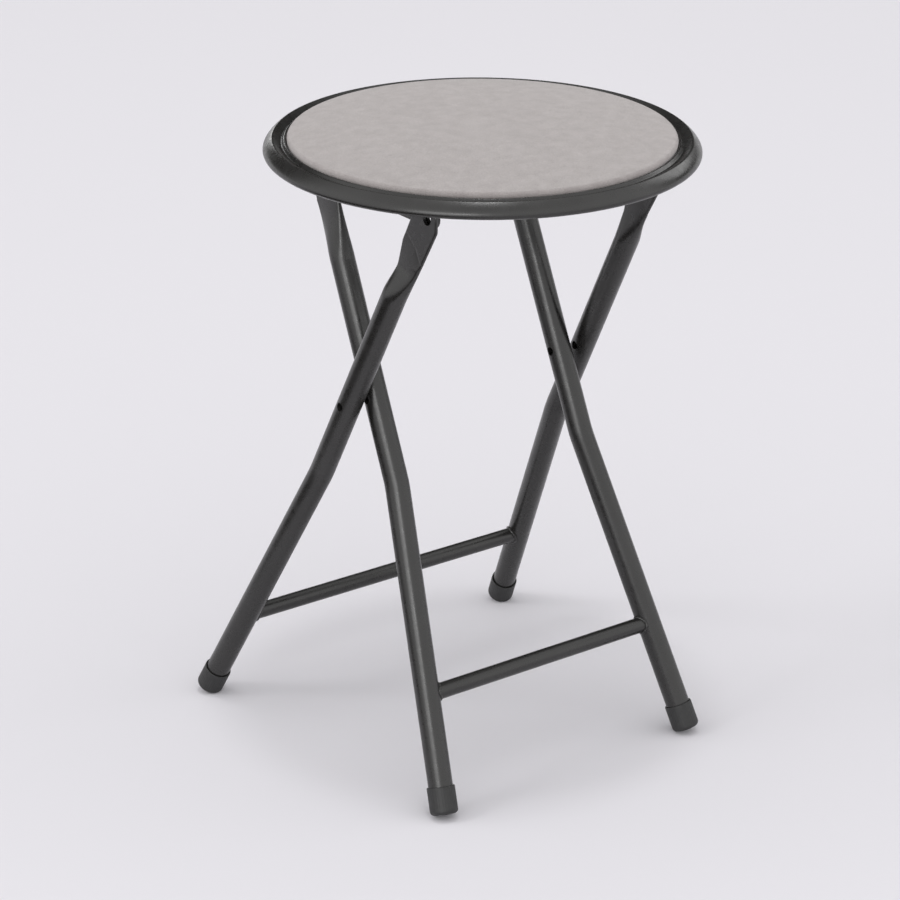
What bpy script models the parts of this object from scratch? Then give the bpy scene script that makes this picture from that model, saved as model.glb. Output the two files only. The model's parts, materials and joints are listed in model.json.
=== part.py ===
"""Folding stool: a round padded seat on two crossed frames of bent steel tube.

Metres, +Z up. The stool stands on z = 0 with the middle of its footprint at the origin. X runs along the
rungs, the outer frame's feet are at +Y and the inner frame's feet at -Y. The inner frame turns on the
cross rivets, the seat turns on its front rivets, and its rear hooks rest on a rod between the inner legs.
"""

from math import acos, atan2, cos, degrees, pi, radians, sin, sqrt, tan

import bmesh
import bpy
from mathutils import Matrix, Vector

# Legs
TUBE_RADIUS = 0.0087
TUBE_WALL = 0.0010
BEND_RADIUS = 0.100
CROSS_HEIGHT = 0.2675
CROSS_BEHIND_SEAT_CENTRE = 0.0124
OUTER_HALF_SPACING = 0.1030
CROSS_SPACER_LENGTH = 0.0043
OUTER_TILT = radians(27.8)
INNER_TILT = radians(24.74)
OUTER_LEAN = radians(1.7)
INNER_LEAN = radians(0.62)
OUTER_SPLAY = radians(7.8)
INNER_SPLAY = radians(7.0)
OUTER_BEND_BELOW_CROSS = 0.0690
INNER_BEND_BELOW_CROSS = 0.0623

# Pressed tops of the legs
PLATE_HALF_THICKNESS = 0.0012
PLATE_INSET = 0.0015
EDGE_SHARE = radians(36)
DENT_SHARE = 0.88

# The same tops by length below the joint: (length, half width), and (front edge, middle, rear edge)
OUTER_FRONT_WIDTHS = [(0.071, 0.0087), (0.035, 0.0107), (0.003, 0.0125)]
OUTER_REAR_WIDTHS = [(0.071, 0.0087), (0.050, 0.0101), (0.031, 0.0144)]
OUTER_DENT_ENDS = (0.0380, 0.0440, 0.0460)
OUTER_CREASES = (0.0355, 0.0275, 0.0240)
OUTER_NOSE_RADIUS = 0.0099
OUTER_NOSE_SHOULDER = 0.0028
INNER_WIDTHS = [(0.073, 0.0087), (0.027, 0.0136)]
INNER_DENT_ENDS = (0.0270, 0.0270, 0.0270)
INNER_CREASES = (0.0260, 0.0260, 0.0260)
INNER_NOSE_RADIUS = 0.0090
INNER_NOSE_SHOULDER = 0.0074

# Rungs
RUNG_RADIUS = 0.00575
RUNG_WALL = 0.0008
OUTER_RUNG_HEIGHT = 0.0732
INNER_RUNG_HEIGHT = 0.0782
WELD_RADIUS = 0.0072
WELD_LENGTH = 0.0030

# Foot caps
CAP_WALL = 0.00095
CAP_LENGTH = 0.0195
CAP_BASE = 0.0035
CAP_CORNER = 0.0030

# Rivets and washers where the legs cross
CROSS_PIN_RADIUS = 0.0030
CROSS_HEAD_RADIUS = 0.0050
CROSS_HEAD_HEIGHT = 0.0024
CROSS_SPACER_RADIUS = 0.0065
CROSS_WASHER_RADIUS = 0.0062
WASHER_THICKNESS = 0.0010

# Seat pan
SEAT_RADIUS = 0.1500
UNDERSIDE_HEIGHT = 0.4367
PAN_SHEET = 0.0010
RIM_CREST_INSET = 0.0075
RIM_CREST_RISE = 0.0079
RIM_WIDEST_RISE = 0.0
RIM_HEM_INSET = 0.0035
RIM_HEM_DROP = 0.0030
RIM_HEM_WIDTH = 0.0046
SHELF_WIDTH = 0.0015
SHELF_DROP = 0.0008
LIP_RADIUS = 0.0013
LIP_RISE = 0.0040
FLOOR_CORNER = 0.0020

# Pad
PAD_CLEARANCE = 0.0006
PAD_HEIGHT = 0.0148
PAD_CROWN = 0.0049
PAD_SHOULDER = 0.0024
PAD_DRAW_IN = 0.0008
PAD_FOOT_CORNER = 0.0020
COVER_THICKNESS = 0.0008
COVER_HEM = 0.0100
BOARD_THICKNESS = 0.0050

# Rails under the seat
RAIL_SHEET = 0.0020
RAIL_TO_PLATE = 0.0012
RAIL_FLANGE_WIDTH = 0.0160
RAIL_EYE_RADIUS = 0.0075
RAIL_EYE_LENGTH = 0.0480
RAIL_STEP_LENGTH = 0.0200
RAIL_HOOK_WALL = 0.0060
RAIL_HOOK_DEPTH = 0.0060
RAIL_BEYOND_ROD = 0.0080
RAIL_BEFORE_HINGE = 0.0050
HOOK_ANGLE = radians(60.8)
HINGE_DROP = 0.0136
ROD_DROP = 0.0150
SCREWS_PER_RAIL = 3
SCREW_RADIUS = 0.00175
SCREW_HEAD_RADIUS = 0.0036
SCREW_HEAD_HEIGHT = 0.0018
SCREW_BITE = 0.0030
SCREW_END_DISTANCE = 0.0180

# Hinge of the seat
HINGE_TUBE_RADIUS = 0.0044
HINGE_BORE_RADIUS = 0.0036
HINGE_FLANGE_RADIUS = 0.0059
HINGE_FLANGE_THICKNESS = 0.0010
HINGE_WASHER_RADIUS = 0.0066

# Rod in the hooks
ROD_RADIUS = 0.0040
ROD_END_CHAMFER = 0.0010
ROD_BEYOND_RAIL = 0.0002
COLLAR_RADIUS = 0.0068
COLLAR_LENGTH = 0.0020

# Fits
SEAT_GAP = 0.0003
HOLE_CLEARANCE = 0.0001
CAP_CLEARANCE = 0.00025

# Faceting
TUBE_SIDES = 20
BORE_SIDES = 16
PIN_SIDES = 16
SCREW_SIDES = 12
RIM_STEPS = 48
PAD_STEPS = 36
SHARP_ANGLE = radians(35)
MIN_RING_STEP = 0.0012

# Layout worked out from the sizes above
CAP_RADIUS = TUBE_RADIUS + CAP_CLEARANCE + CAP_WALL
INNER_HALF_SPACING = OUTER_HALF_SPACING - 2 * TUBE_RADIUS - CROSS_SPACER_LENGTH - 2 * SEAT_GAP
HINGE_HEIGHT = UNDERSIDE_HEIGHT - HINGE_DROP
ROD_HEIGHT = UNDERSIDE_HEIGHT - ROD_DROP
FLOOR_TOP = UNDERSIDE_HEIGHT + PAN_SHEET
SIDES = {"left": -1, "right": 1}


class Leg:
    """Centre line of one pair of legs, for the right-hand leg, from its cross rivet at y = 0.

    The length s runs up the leg from the rivet. Seen from the side the leg is straight, and below the
    bend it also splays outwards.
    """

    def __init__(self, half_spacing, tilt, lean, splay, bend_below, back):
        self.half_spacing = half_spacing
        self.lean = lean
        self.up = Vector((0, back * sin(tilt), cos(tilt)))
        self.across = Vector((0, cos(tilt), -back * sin(tilt)))
        self.down = Vector((tan(splay), -self.up.y, -self.up.z)).normalized()
        self.corner = self.point(-bend_below)

    def x_at(self, s):
        return self.half_spacing - s * tan(self.lean)

    def point(self, s):
        return Vector((self.x_at(s), 0, CROSS_HEIGHT)) + self.up * s

    def lower_point(self, height):
        """The point of the lower run at a height."""
        return self.corner + self.down * ((self.corner.z - height) / -self.down.z)

    def cap_plane(self):
        """The point where the cap's rounded edge is centred, with that edge touching the floor."""
        tilt = sqrt(1 - self.down.z**2)
        return self.lower_point((CAP_RADIUS - CAP_CORNER) * tilt + CAP_CORNER)

    def cap_end(self):
        return self.cap_plane() + self.down * CAP_CORNER

    def reach(self):
        """How far the cap reaches from the cross rivet, measured along y."""
        spread = (CAP_RADIUS - CAP_CORNER) * sqrt(1 - self.down.y**2) + CAP_CORNER
        return abs(self.cap_plane().y) + spread

    def bend(self, steps=5):
        """Points of the arc that rounds the corner between the two runs."""
        upper = (self.point(0) - self.corner).normalized()
        turn = pi - upper.angle(self.down)
        length = BEND_RADIUS * tan(turn / 2)
        start = self.corner + self.down * length
        end = self.corner + upper * length
        inward = ((start + end) / 2 - self.corner).normalized()
        centre = self.corner + inward * (BEND_RADIUS / cos(turn / 2))
        axis = (start - centre).cross(end - centre).normalized()
        turns = [Matrix.Rotation(turn * i / steps, 3, axis) for i in range(steps + 1)]
        return [centre + rotation @ (start - centre) for rotation in turns]


OUTER = Leg(OUTER_HALF_SPACING, OUTER_TILT, OUTER_LEAN, OUTER_SPLAY, OUTER_BEND_BELOW_CROSS, -1)
INNER = Leg(INNER_HALF_SPACING, INNER_TILT, INNER_LEAN, INNER_SPLAY, INNER_BEND_BELOW_CROSS, 1)

# The depth from the rim's front to the back of the outer caps is centred on y = 0
SEAT_Y = (SEAT_RADIUS - CROSS_BEHIND_SEAT_CENTRE - OUTER.reach()) / 2
CROSS = Vector((0, SEAT_Y + CROSS_BEHIND_SEAT_CENTRE, 0))
HINGE_S = (HINGE_HEIGHT - CROSS_HEIGHT) / cos(OUTER_TILT)
ROD_S = (ROD_HEIGHT - CROSS_HEIGHT) / cos(INNER_TILT)
HINGE = Vector((0, (CROSS + OUTER.point(HINGE_S)).y, HINGE_HEIGHT))
ROD = Vector((0, (CROSS + INNER.point(ROD_S)).y, ROD_HEIGHT))
OUTER_PLATE_X = OUTER.x_at(HINGE_S) - PLATE_INSET
INNER_PLATE_X = INNER.x_at(ROD_S)
RAIL_OUTER_X = OUTER_PLATE_X - PLATE_HALF_THICKNESS - RAIL_TO_PLATE
RAIL_INNER_X = RAIL_OUTER_X - RAIL_SHEET
FLANGE_X = RAIL_INNER_X - RAIL_FLANGE_WIDTH
FLANGE_TOP = UNDERSIDE_HEIGHT - SEAT_GAP
FLANGE_BOTTOM = FLANGE_TOP - RAIL_SHEET


def new_collection(name):
    collection = bpy.data.collections.new(name)
    bpy.context.scene.collection.children.link(collection)
    return collection


def material(name, red, green, blue, roughness, metallic=0.0):
    result = bpy.data.materials.new(name)
    result.use_nodes = True
    shader = result.node_tree.nodes["Principled BSDF"]
    shader.inputs["Base Color"].default_value = (red, green, blue, 1.0)
    shader.inputs["Roughness"].default_value = roughness
    shader.inputs["Metallic"].default_value = metallic
    return result


for old in list(bpy.data.objects):
    bpy.data.objects.remove(old, do_unlink=True)

STOOL = new_collection("folding_stool")
CUTTERS = new_collection("cutters")


def axis_empty(name, location):
    """The axis that one moving part of the stool turns on."""
    marker = bpy.data.objects.new(name, None)
    marker.location = location
    STOOL.objects.link(marker)
    return marker


def move_to(obj, collection):
    for old_collection in list(obj.users_collection):
        old_collection.objects.unlink(obj)
    collection.objects.link(obj)


def keep(obj, name, look, parent):
    """Names an object, gives it its own material and hangs it on its axis without moving it."""
    obj.name = name
    obj.data.name = name
    obj.data.materials.clear()
    obj.data.materials.append(material(name, *look))
    move_to(obj, STOOL)
    obj.parent = parent
    obj.matrix_parent_inverse = Matrix.Translation(-parent.location)
    obj.data.shade_smooth()
    obj.data.set_sharp_from_angle(angle=SHARP_ANGLE)
    return obj


def boolean(obj, other, operation="DIFFERENCE"):
    move_to(other, CUTTERS)
    other.hide_render = True
    other.display_type = "WIRE"
    modifier = obj.modifiers.new(operation.lower(), "BOOLEAN")
    modifier.operation = operation
    modifier.solver = "EXACT"
    modifier.object = other
    return obj


def hole_radius(pin_radius, sides=PIN_SIDES):
    """A hole's corner radius whose flats clear a pin of the given radius."""
    return (pin_radius + HOLE_CLEARANCE) / cos(pi / sides)


def cylinder(start, end, radius, sides=PIN_SIDES):
    """A closed cylinder between two points."""
    axis = Vector(end) - Vector(start)
    bpy.ops.mesh.primitive_cylinder_add(vertices=sides, radius=radius, depth=axis.length)
    obj = bpy.context.object
    turn = Vector((0, 0, 1)).rotation_difference(axis).to_matrix().to_4x4()
    obj.matrix_world = Matrix.Translation((Vector(start) + Vector(end)) / 2) @ turn
    return obj


def cross_cylinder(centre, low_x, high_x, radius, sides=PIN_SIDES):
    """A cylinder along x through a point of the side view."""
    return cylinder((low_x, centre.y, centre.z), (high_x, centre.y, centre.z), radius, sides)


def box(low, high):
    """A closed box between its lowest and highest corners."""
    bpy.ops.mesh.primitive_cube_add(size=1)
    obj = bpy.context.object
    obj.data.transform(Matrix.Diagonal((*(Vector(high) - Vector(low)), 1)))
    obj.location = (Vector(low) + Vector(high)) / 2
    return obj


def arc(centre, width, height, first, last, steps):
    """Points of an ellipse's arc, its angles in degrees."""
    angles = [radians(first + (last - first) * i / steps) for i in range(steps + 1)]
    return [(centre[0] + width * cos(a), centre[1] + height * sin(a)) for a in angles]


def turned(profile, steps, closed=False):
    """A profile of (radius, height) points turned about the object's z axis."""
    mesh = bpy.data.meshes.new("profile")
    edges = [(i, i + 1) for i in range(len(profile) - 1)]
    if closed:
        edges.append((len(profile) - 1, 0))
    mesh.from_pydata([(radius, 0, height) for radius, height in profile], edges, [])
    obj = bpy.data.objects.new("turned", mesh)
    STOOL.objects.link(obj)
    screw = obj.modifiers.new("turn", "SCREW")
    screw.steps = steps
    screw.render_steps = steps
    screw.use_merge_vertices = True
    screw.merge_threshold = 0.00001
    return obj


def turned_along_x(profile, side, centre, closed=False, steps=PIN_SIDES):
    """A profile of (radius, distance outwards from the middle) points turned about x."""
    obj = turned(profile, steps, closed)
    obj.matrix_world = Matrix.Translation(centre) @ Matrix.Rotation(side * pi / 2, 4, "Y")
    return obj


def ring(inner, outer, low, high):
    """The closed profile of a plain ring."""
    return [(inner, low), (inner, high), (outer, high), (outer, low)]


def mesh_of(guide):
    """The mesh that a curve object makes, with the curve itself removed."""
    STOOL.objects.link(guide)
    graph = bpy.context.evaluated_depsgraph_get()
    mesh = bpy.data.meshes.new_from_object(guide.evaluated_get(graph))
    bpy.data.objects.remove(guide)
    work = bmesh.new()
    work.from_mesh(mesh)
    bmesh.ops.remove_doubles(work, verts=work.verts, dist=0.000001)
    work.to_mesh(mesh)
    work.free()
    return mesh


def tube_mesh(points, radius, sides):
    """A round tube along points, open at both ends."""
    curve = bpy.data.curves.new("tube", "CURVE")
    curve.dimensions = "3D"
    curve.bevel_depth = radius
    curve.bevel_resolution = sides // 2 - 2
    spline = curve.splines.new("POLY")
    spline.points.add(len(points) - 1)
    for spline_point, place in zip(spline.points, points):
        spline_point.co = (*place, 1)
    return mesh_of(bpy.data.objects.new("tube", curve))


def close_ends(work):
    """Fills the open ends of a mesh and turns its faces outwards."""
    bmesh.ops.holes_fill(work, edges=[edge for edge in work.edges if edge.is_boundary], sides=0)
    bmesh.ops.recalc_face_normals(work, faces=work.faces)


def mesh_object(mesh, side, offset):
    """An object for a right-hand mesh, mirrored when it belongs on the left."""
    mesh = mesh.copy()
    if side < 0:
        mesh.transform(Matrix.Scale(-1, 4, (1, 0, 0)))
        mesh.flip_normals()
    obj = bpy.data.objects.new("mesh", mesh)
    obj.location = offset
    STOOL.objects.link(obj)
    return obj


def tube_cutter(points, radius, side, sides=TUBE_SIDES):
    """A closed tube along points."""
    mesh = tube_mesh(points, radius, sides)
    work = bmesh.new()
    work.from_mesh(mesh)
    close_ends(work)
    work.to_mesh(mesh)
    work.free()
    return mesh_object(mesh, side, CROSS)


def plate_section(angle, half_width):
    """Where the pressed plate carries the tube's point at an angle: (across the plate, sideways)."""
    straight = half_width - PLATE_HALF_THICKNESS
    face = 1 if sin(angle) >= 0 else -1
    turn = acos(max(-1.0, min(1.0, cos(angle))))
    end = 1 if turn < pi / 2 else -1
    from_edge = min(turn, pi - turn)
    if from_edge < EDGE_SHARE:
        curl = from_edge / EDGE_SHARE * pi / 2
        across = straight + PLATE_HALF_THICKNESS * cos(curl)
        return Vector((end * across, face * PLATE_HALF_THICKNESS * sin(curl)))
    across = straight * (pi / 2 - from_edge) / (pi / 2 - EDGE_SHARE)
    return Vector((end * across, face * PLATE_HALF_THICKNESS))


def value_at(table, length):
    """Straight lines between the (length, value) pairs of a table whose lengths fall."""
    for (start, first), (end, last) in zip(table, table[1:]):
        if length >= end:
            share = max(0.0, (start - length) / (start - end))
            return first + (last - first) * share
    return table[-1][1]


class Press:
    """How a tube's top is pressed to a plate, by the length below its joint.

    Each face is dented along a ramp. The dent ends sooner at one edge than at the other, and above it the
    face runs on gently to a crease, beyond which the plate is flat.
    """

    def __init__(self, front_widths, rear_widths, dent_ends, creases, nose_radius, nose_shoulder):
        self.front_widths = front_widths
        self.rear_widths = rear_widths
        self.dent_ends = dent_ends
        self.creases = creases
        self.nose_radius = nose_radius
        self.nose_shoulder = nose_shoulder
        self.start = front_widths[0][0]

    @staticmethod
    def at_place(front_middle_rear, place):
        """The value at a place across the tube, from -1 at the front edge to 1 at the rear edge."""
        front, middle, rear = front_middle_rear
        return middle + place * (rear - middle if place > 0 else middle - front)

    def flatness(self, below, angle):
        """0 on the round tube, 1 on the flat plate."""
        place = cos(angle)
        dent_end = self.at_place(self.dent_ends, place)
        crease = self.at_place(self.creases, place)
        if below > dent_end:
            share = (self.start - below) / (self.start - dent_end)
            return DENT_SHARE * share * share * (3 - 2 * share)
        return value_at([(dent_end, DENT_SHARE), (crease, 1.0)], below)

    def section(self, below, angle, limit):
        """A point of the section as (across, sideways), with its flatness."""
        widths = self.rear_widths if cos(angle) > 0 else self.front_widths
        width = min(value_at(widths, below), limit)
        spread = value_at([(self.start, 0.0), (self.dent_ends[0], 1.0)], below)
        flatness = self.flatness(below, angle)
        tube = Vector((cos(angle) * width, sin(angle) * TUBE_RADIUS))
        plate = plate_section(angle, width)
        across = tube.x + spread * (plate.x - tube.x)
        return across, tube.y + flatness * (plate.y - tube.y), flatness

    def stations(self):
        """Rings up the pressed top as (length below the joint, limit of the half width)."""
        lengths = {self.start * (1 - i / 8) + self.dent_ends[0] * i / 8 for i in range(1, 8)}
        lengths |= {*self.dent_ends, *self.creases, self.rear_widths[-1][0]}
        lengths = [length for length in sorted(lengths, reverse=True) if length > 2 * self.nose_shoulder]
        rings = []
        for length in lengths:
            if not rings or rings[-1][0] - length > MIN_RING_STEP:
                rings.append((length, 1.0))
        shoulder = self.nose_shoulder
        width = value_at(self.front_widths, shoulder)
        rings.append((shoulder + PLATE_HALF_THICKNESS, 1.0))
        rings.append((shoulder, width - PLATE_HALF_THICKNESS / 4))
        tangent = degrees(atan2(-shoulder, width) + acos(self.nose_radius / Vector((width, shoulder)).length))
        for half_width, height in arc((0, 0), self.nose_radius, self.nose_radius, tangent, 78, 5):
            rings.append((-height, half_width))
        return rings


OUTER_PRESS = Press(
    OUTER_FRONT_WIDTHS,
    OUTER_REAR_WIDTHS,
    OUTER_DENT_ENDS,
    OUTER_CREASES,
    OUTER_NOSE_RADIUS,
    OUTER_NOSE_SHOULDER,
)
INNER_PRESS = Press(
    INNER_WIDTHS,
    INNER_WIDTHS,
    INNER_DENT_ENDS,
    INNER_CREASES,
    INNER_NOSE_RADIUS,
    INNER_NOSE_SHOULDER,
)


def leg_mesh(leg, plate_x, joint_s, press):
    """A right-hand leg: a bent tube whose top is pressed to a flat plate with a rounded nose."""
    foot = leg.cap_end() - leg.down * (CAP_BASE + SEAT_GAP)
    top = leg.point(joint_s - press.start)
    mesh = tube_mesh([foot, *leg.bend(), top], TUBE_RADIUS, TUBE_SIDES)
    work = bmesh.new()
    work.from_mesh(mesh)

    def angle_of(vert):
        offset = vert.co - top
        return atan2(offset.x, offset.dot(leg.across)) % (2 * pi)

    rim = sorted((vert for vert in work.verts if (vert.co - top).length < 1.5 * TUBE_RADIUS), key=angle_of)
    angles = [angle_of(vert) for vert in rim]
    for below, limit in press.stations():
        centre = leg.point(joint_s - below)
        upper = []
        for angle in angles:
            across, sideways, flatness = press.section(below, angle, limit)
            offset = Vector((sideways + flatness * (plate_x - centre.x), 0, 0))
            upper.append(work.verts.new(centre + leg.across * across + offset))
        for i in range(len(rim)):
            work.faces.new((rim[i - 1], rim[i], upper[i], upper[i - 1]))
        rim = upper
    close_ends(work)
    work.to_mesh(mesh)
    work.free()
    return mesh


def add_legs(prefix, leg, joint, joint_radius, plate_x, press, parent):
    """The two legs of one frame, bored out and drilled for their rivets."""
    joint_s = (joint.z - CROSS_HEIGHT) / leg.up.z
    mesh = leg_mesh(leg, plate_x, joint_s, press)
    bore_path = [leg.cap_end() + leg.down * TUBE_RADIUS, *leg.bend(), leg.point(joint_s - press.start)]
    cross = CROSS + Vector((0, 0, CROSS_HEIGHT))
    reach = 2 * TUBE_RADIUS
    for name, side in SIDES.items():
        obj = mesh_object(mesh, side, CROSS)
        boolean(obj, tube_cutter(bore_path, TUBE_RADIUS - TUBE_WALL, side, BORE_SIDES))
        ends = (side * (leg.half_spacing - reach), side * (leg.half_spacing + reach))
        boolean(obj, cross_cylinder(cross, *ends, hole_radius(CROSS_PIN_RADIUS)))
        ends = (side * (plate_x - reach), side * (plate_x + reach))
        boolean(obj, cross_cylinder(joint, *ends, hole_radius(joint_radius)))
        keep(obj, f"{prefix}_leg_{name}", BLACK_COAT, parent)


def add_rung(name, leg, height, parent):
    """A thin tube between the legs, flared by its welds and cut to their shape."""
    end = leg.lower_point(height)
    weld_x = end.x - TUBE_RADIUS
    half = [
        (0, end.x),
        (WELD_RADIUS, end.x),
        (WELD_RADIUS, weld_x),
        ((WELD_RADIUS + RUNG_RADIUS) / 2 - WELD_LENGTH / 10, weld_x - WELD_LENGTH / 3),
        (RUNG_RADIUS, weld_x - WELD_LENGTH),
    ]
    profile = half + [(radius, -x) for radius, x in reversed(half)]
    centre = CROSS + Vector((0, end.y, end.z))
    obj = turned_along_x(profile, 1, centre, steps=TUBE_SIDES)
    boolean(obj, cross_cylinder(centre, -2 * end.x, 2 * end.x, RUNG_RADIUS - RUNG_WALL, BORE_SIDES))
    leg_path = [leg.cap_end(), leg.bend()[0]]
    for side in SIDES.values():
        boolean(obj, tube_cutter(leg_path, TUBE_RADIUS + SEAT_GAP, side))
    keep(obj, name, BLACK_COAT, parent)


def add_foot(name, leg, side, parent):
    """A cup over the leg's lower end, its rounded edge on the floor."""
    inside = TUBE_RADIUS + CAP_CLEARANCE
    corner = (CAP_RADIUS - CAP_CORNER, CAP_CORNER)
    profile = [(0, CAP_BASE), (inside, CAP_BASE), (inside, CAP_LENGTH), (CAP_RADIUS, CAP_LENGTH)]
    profile += arc(corner, CAP_CORNER, CAP_CORNER, 0, -90, 4)
    profile.append((0, 0))
    obj = turned(profile, TUBE_SIDES)
    end = leg.cap_end()
    up = Vector((-side * leg.down.x, -leg.down.y, -leg.down.z))
    lowest = (Vector((0, 0, -1)) + up * up.z).normalized()
    turn = Matrix((lowest, up.cross(lowest), up)).transposed().to_4x4()
    obj.matrix_world = Matrix.Translation(CROSS + Vector((side * end.x, end.y, end.z))) @ turn
    keep(obj, name, BLACK_PLASTIC, parent)


def add_cross_joint(name, side, parent):
    """The rivet, spacer and washer where two legs cross."""
    centre = CROSS + Vector((0, 0, CROSS_HEIGHT))
    outer_face = OUTER_HALF_SPACING + TUBE_RADIUS
    inner_face = INNER_HALF_SPACING - TUBE_RADIUS
    spacer_start = INNER_HALF_SPACING + TUBE_RADIUS + SEAT_GAP
    washer_end = inner_face - SEAT_GAP
    washer_start = washer_end - WASHER_THICKNESS
    bore = hole_radius(CROSS_PIN_RADIUS)
    dome = arc((0, 0), CROSS_HEAD_RADIUS, CROSS_HEAD_HEIGHT, 90, 12, 4)
    upper = [(radius, outer_face + SEAT_GAP + height) for radius, height in dome]
    lower = [(radius, washer_start - SEAT_GAP - height) for radius, height in reversed(dome)]
    profile = [
        *upper,
        (CROSS_HEAD_RADIUS, outer_face + SEAT_GAP),
        (CROSS_PIN_RADIUS, outer_face + SEAT_GAP),
        (CROSS_PIN_RADIUS, washer_start - SEAT_GAP),
        (CROSS_HEAD_RADIUS, washer_start - SEAT_GAP),
        *lower,
    ]
    rivet = turned_along_x(profile, side, centre)
    keep(rivet, f"cross_rivet_{name}", BLACK_COAT, parent)
    spacer = ring(bore, CROSS_SPACER_RADIUS, spacer_start, spacer_start + CROSS_SPACER_LENGTH)
    spacer = turned_along_x(spacer, side, centre, closed=True)
    keep(spacer, f"cross_spacer_{name}", BLACK_PLASTIC, parent)
    washer = turned_along_x(ring(bore, CROSS_WASHER_RADIUS, washer_start, washer_end), side, centre, closed=True)
    keep(washer, f"cross_washer_{name}", BARE_STEEL, parent)


def add_hinge(name, side, parent):
    """The hollow rivet through leg top and rail, with the thin washer between them."""
    outer_face = OUTER_PLATE_X + PLATE_HALF_THICKNESS + SEAT_GAP
    inner_face = RAIL_INNER_X - SEAT_GAP
    top = outer_face + HINGE_FLANGE_THICKNESS
    bottom = inner_face - HINGE_FLANGE_THICKNESS
    curl = HINGE_FLANGE_THICKNESS / 2
    profile = [
        (HINGE_BORE_RADIUS, bottom + curl),
        (HINGE_BORE_RADIUS, top - curl),
        (HINGE_BORE_RADIUS + curl, top),
        (HINGE_FLANGE_RADIUS - curl, top),
        (HINGE_FLANGE_RADIUS, top - curl),
        (HINGE_FLANGE_RADIUS, outer_face),
        (HINGE_TUBE_RADIUS, outer_face),
        (HINGE_TUBE_RADIUS, inner_face),
        (HINGE_FLANGE_RADIUS, inner_face),
        (HINGE_FLANGE_RADIUS, bottom + curl),
        (HINGE_FLANGE_RADIUS - curl, bottom),
        (HINGE_BORE_RADIUS + curl, bottom),
    ]
    rivet = turned_along_x(profile, side, HINGE, closed=True, steps=TUBE_SIDES)
    keep(rivet, f"hinge_rivet_{name}", BLACK_COAT, parent)
    plate_side = OUTER_PLATE_X - PLATE_HALF_THICKNESS - SEAT_GAP
    bore = hole_radius(HINGE_TUBE_RADIUS, TUBE_SIDES)
    washer = ring(bore, HINGE_WASHER_RADIUS, RAIL_OUTER_X + SEAT_GAP, plate_side)
    washer = turned_along_x(washer, side, HINGE, closed=True, steps=TUBE_SIDES)
    keep(washer, f"hinge_washer_{name}", BLACK_PLASTIC, parent)


def add_hook_rod(parent):
    """The rod through the inner leg tops, ending just outside the rails, and its two collars."""
    end = RAIL_OUTER_X + ROD_BEYOND_RAIL
    half = [(0, end), (ROD_RADIUS - ROD_END_CHAMFER, end), (ROD_RADIUS, end - ROD_END_CHAMFER)]
    profile = half + [(radius, -x) for radius, x in reversed(half)]
    keep(turned_along_x(profile, 1, ROD), "hook_rod", BARE_STEEL, parent)
    low = INNER_PLATE_X + PLATE_HALF_THICKNESS + SEAT_GAP
    collar = ring(hole_radius(ROD_RADIUS), COLLAR_RADIUS, low, low + COLLAR_LENGTH)
    for name, side in SIDES.items():
        keep(turned_along_x(collar, side, ROD, closed=True), f"rod_collar_{name}", BARE_STEEL, parent)


def rail_outline():
    """The rail's upright side seen along x, as (y, z): the hinge eye in front and the open hook behind."""
    rod = Vector((ROD.y, ROD.z))
    slot = Vector((-cos(HOOK_ANGLE), -sin(HOOK_ANGLE)))
    behind = Vector((-slot.y, slot.x))
    behind_angle = degrees(atan2(behind.y, behind.x))
    notch = ROD_RADIUS + SEAT_GAP
    tip = rod + slot * RAIL_HOOK_DEPTH + behind * (notch + RAIL_HOOK_WALL / 2)
    top = FLANGE_TOP - RAIL_SHEET / 3
    mouth = rod - behind * notch
    outline = arc((HINGE.y, HINGE.z), RAIL_EYE_RADIUS, RAIL_EYE_RADIUS, 130, 270, 8)
    outline.append((HINGE.y + RAIL_EYE_LENGTH, HINGE.z - RAIL_EYE_RADIUS))
    outline.append((HINGE.y + RAIL_EYE_LENGTH + RAIL_STEP_LENGTH, mouth.y))
    outline += arc(rod, notch, notch, behind_angle + 180, behind_angle, 8)
    half_wall = RAIL_HOOK_WALL / 2
    outline += arc(tip, half_wall, half_wall, behind_angle + 180, behind_angle + 360, 4)
    outline.append(tuple(rod + behind * (notch + RAIL_HOOK_WALL)))
    outline.append((ROD.y + RAIL_BEYOND_ROD, top))
    outline.append((HINGE.y - RAIL_BEFORE_HINGE, top))
    return outline


def plate_mesh(outline, thickness):
    """A flat plate with the given outline, its faces towards x."""
    curve = bpy.data.curves.new("plate", "CURVE")
    curve.dimensions = "2D"
    curve.fill_mode = "BOTH"
    curve.extrude = thickness / 2
    spline = curve.splines.new("POLY")
    spline.points.add(len(outline) - 1)
    for spline_point, (y, z) in zip(spline.points, outline):
        spline_point.co = (y, z, 0, 1)
    spline.use_cyclic_u = True
    mesh = mesh_of(bpy.data.objects.new("plate", curve))
    mesh.transform(Matrix(((0, 0, 1, 0), (1, 0, 0, 0), (0, 1, 0, 0), (0, 0, 0, 1))))
    return mesh


def screw_places():
    first = HINGE.y + SCREW_END_DISTANCE
    last = ROD.y - SCREW_END_DISTANCE
    x = (RAIL_INNER_X + FLANGE_X) / 2
    step = (last - first) / (SCREWS_PER_RAIL - 1)
    return [Vector((x, first + step * i, 0)) for i in range(SCREWS_PER_RAIL)]


def upright_cylinder(place, low, high, radius):
    return cylinder((place.x, place.y, low), (place.x, place.y, high), radius, SCREW_SIDES)


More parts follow.
